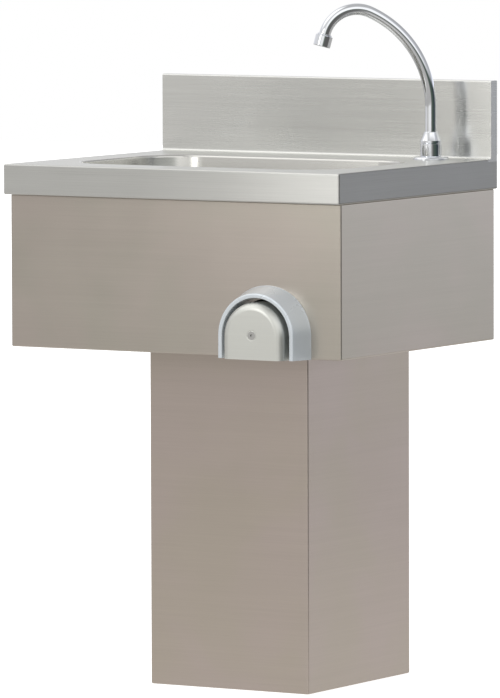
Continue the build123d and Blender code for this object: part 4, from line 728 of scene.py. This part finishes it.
def make_world():
    """A soft studio round the object: pale walls, a darker side to the right, light above."""
    world = bpy.data.worlds.new("studio")
    bpy.context.scene.world = world
    world.use_nodes = True
    shader = Shader(world.node_tree)
    direction = shader.add("ShaderNodeTexCoord").outputs["Generated"]
    x, y, z = shader.split(direction)
    turn = shader.math("DIVIDE", shader.math("ARCTAN2", y, x), 2 * math.pi)
    turn = shader.math("FRACT", shader.math("ADD", turn, 1.0))
    walls = round_the_room(shader, turn, WALLS)
    sky = round_the_room(shader, turn, SKY)
    room = shader.mix(shader.spread(z, 0.08, 0.24, smooth=True), walls, sky)
    room = shader.mix(shader.spread(z, 0.60, 0.90, smooth=True), room, CEILING)
    room = shader.mix(shader.spread(z, -0.05, -0.40, smooth=True), room, GROUND)
    overhead = lobe(shader, direction, (-0.55, -0.30, 0.80), 14, 34)
    room = shader.mix(overhead, room, OVERHEAD)
    light = shader.add("ShaderNodeBackground")
    shader.link(room, light.inputs["Color"])
    light.inputs["Strength"].default_value = 1.0
    backdrop = shader.add("ShaderNodeBackground")
    backdrop.inputs["Color"].default_value = (1, 1, 1, 1)
    backdrop.inputs["Strength"].default_value = 1.0
    seen = shader.add("ShaderNodeLightPath").outputs["Is Camera Ray"]
    choose = shader.add("ShaderNodeMixShader")
    shader.link(seen, choose.inputs[0])
    shader.link(light.outputs[0], choose.inputs[1])
    shader.link(backdrop.outputs[0], choose.inputs[2])
    output = shader.add("ShaderNodeOutputWorld")
    shader.link(choose.outputs[0], output.inputs["Surface"])


def area_light(name, place_at, aim_at, size, power, colour):
    data = bpy.data.lights.new(name, "AREA")
    data.shape = "RECTANGLE"
    data.size, data.size_y = size
    data.energy = power
    data.color = colour
    lamp = bpy.data.objects.new(name, data)
    bpy.context.scene.collection.objects.link(lamp)
    lamp.location = place_at
    aim = Vector(aim_at) - Vector(place_at)
    lamp.rotation_euler = aim.to_track_quat("-Z", "Y").to_euler()


FLOOR_HALF = 14.0
FLOOR_LEVEL = -0.0005


def make_floor():
    """A pale floor, wide enough to fill the view behind the object."""
    bpy.ops.mesh.primitive_plane_add(size=2 * FLOOR_HALF, location=(0, 0, FLOOR_LEVEL))
    floor = bpy.context.object
    floor.name = "studio_floor"
    material, shader, surface = new_material("floor_pale")
    coords = shader.add("ShaderNodeTexCoord").outputs["Object"]
    speck = shader.noise(coords, 3.0, 3, 0.5)
    shade = shader.spread(speck, 0.3, 0.7, 0.84, 0.88)
    shader.link(shader.join(shade, shade, shade), surface.inputs["Base Color"])
    surface.inputs["Roughness"].default_value = 0.85
    surface.inputs["Specular IOR Level"].default_value = 0.0
    surface.inputs["Emission Color"].default_value = (1.0, 0.995, 0.985, 1.0)
    surface.inputs["Emission Strength"].default_value = 0.75
    # Lit as a mid-grey studio floor in reflections, brighter near the object, and
    # exposed to white to the eye
    bounce = shader.add("ShaderNodeEmission")
    bounce.inputs["Color"].default_value = GROUND
    away = shader.add("ShaderNodeVectorMath", operation="LENGTH")
    shader.link(coords, away.inputs[0])
    pool = shader.spread(away.outputs["Value"], 0.8, 4.5, 1.5, 1.0, smooth=True)
    unit = shader.vector("NORMALIZE", coords)
    dim = shader.spread(away.outputs["Value"], 0.6, 1.4, smooth=True)
    dim = shader.math("MULTIPLY", dim, lobe(shader, unit, (0.98, -0.17, 0), 24, 42))
    pool = shader.math("MULTIPLY", pool, shader.spread(dim, 0, 1, 1, 0.25))
    shader.link(pool, bounce.inputs["Strength"])
    seen = shader.add("ShaderNodeLightPath").outputs["Is Camera Ray"]
    choose = shader.add("ShaderNodeMixShader")
    shader.link(seen, choose.inputs[0])
    shader.link(bounce.outputs[0], choose.inputs[1])
    shader.link(surface.outputs[0], choose.inputs[2])
    output = next(n for n in shader.tree.nodes if n.type == "OUTPUT_MATERIAL")
    shader.link(choose.outputs[0], output.inputs["Surface"])
    floor.data.materials.append(material)


# ---------------------------------------------------------------- build

make_camera()
make_world()
make_floor()
area_light(
    "rim_light", (-0.55, -2.0, 1.30), (0.25, -0.25, 0.82), (0.60, 1.0), 4.2, (1.0, 1.0, 0.98)
)
finishes = dress_frame()
bodies = frame["record"]["behaviour"]["bodies"]
body_of = {node: body for body, members in bodies.items() for node in members}
make_bezel(finishes["zinc_bezel"])
make_pad(finishes["stainless_pad"], body_of["knee_pad"])
# A black sheet behind the pad: painted shade inside the apron.
make_shade_sheet(finishes["rubber_black"])
make_spout(finishes["chrome"], body_of["spout_tube"])

view = bpy.context.scene.view_settings
view.view_transform = "Standard"
view.look = "None"
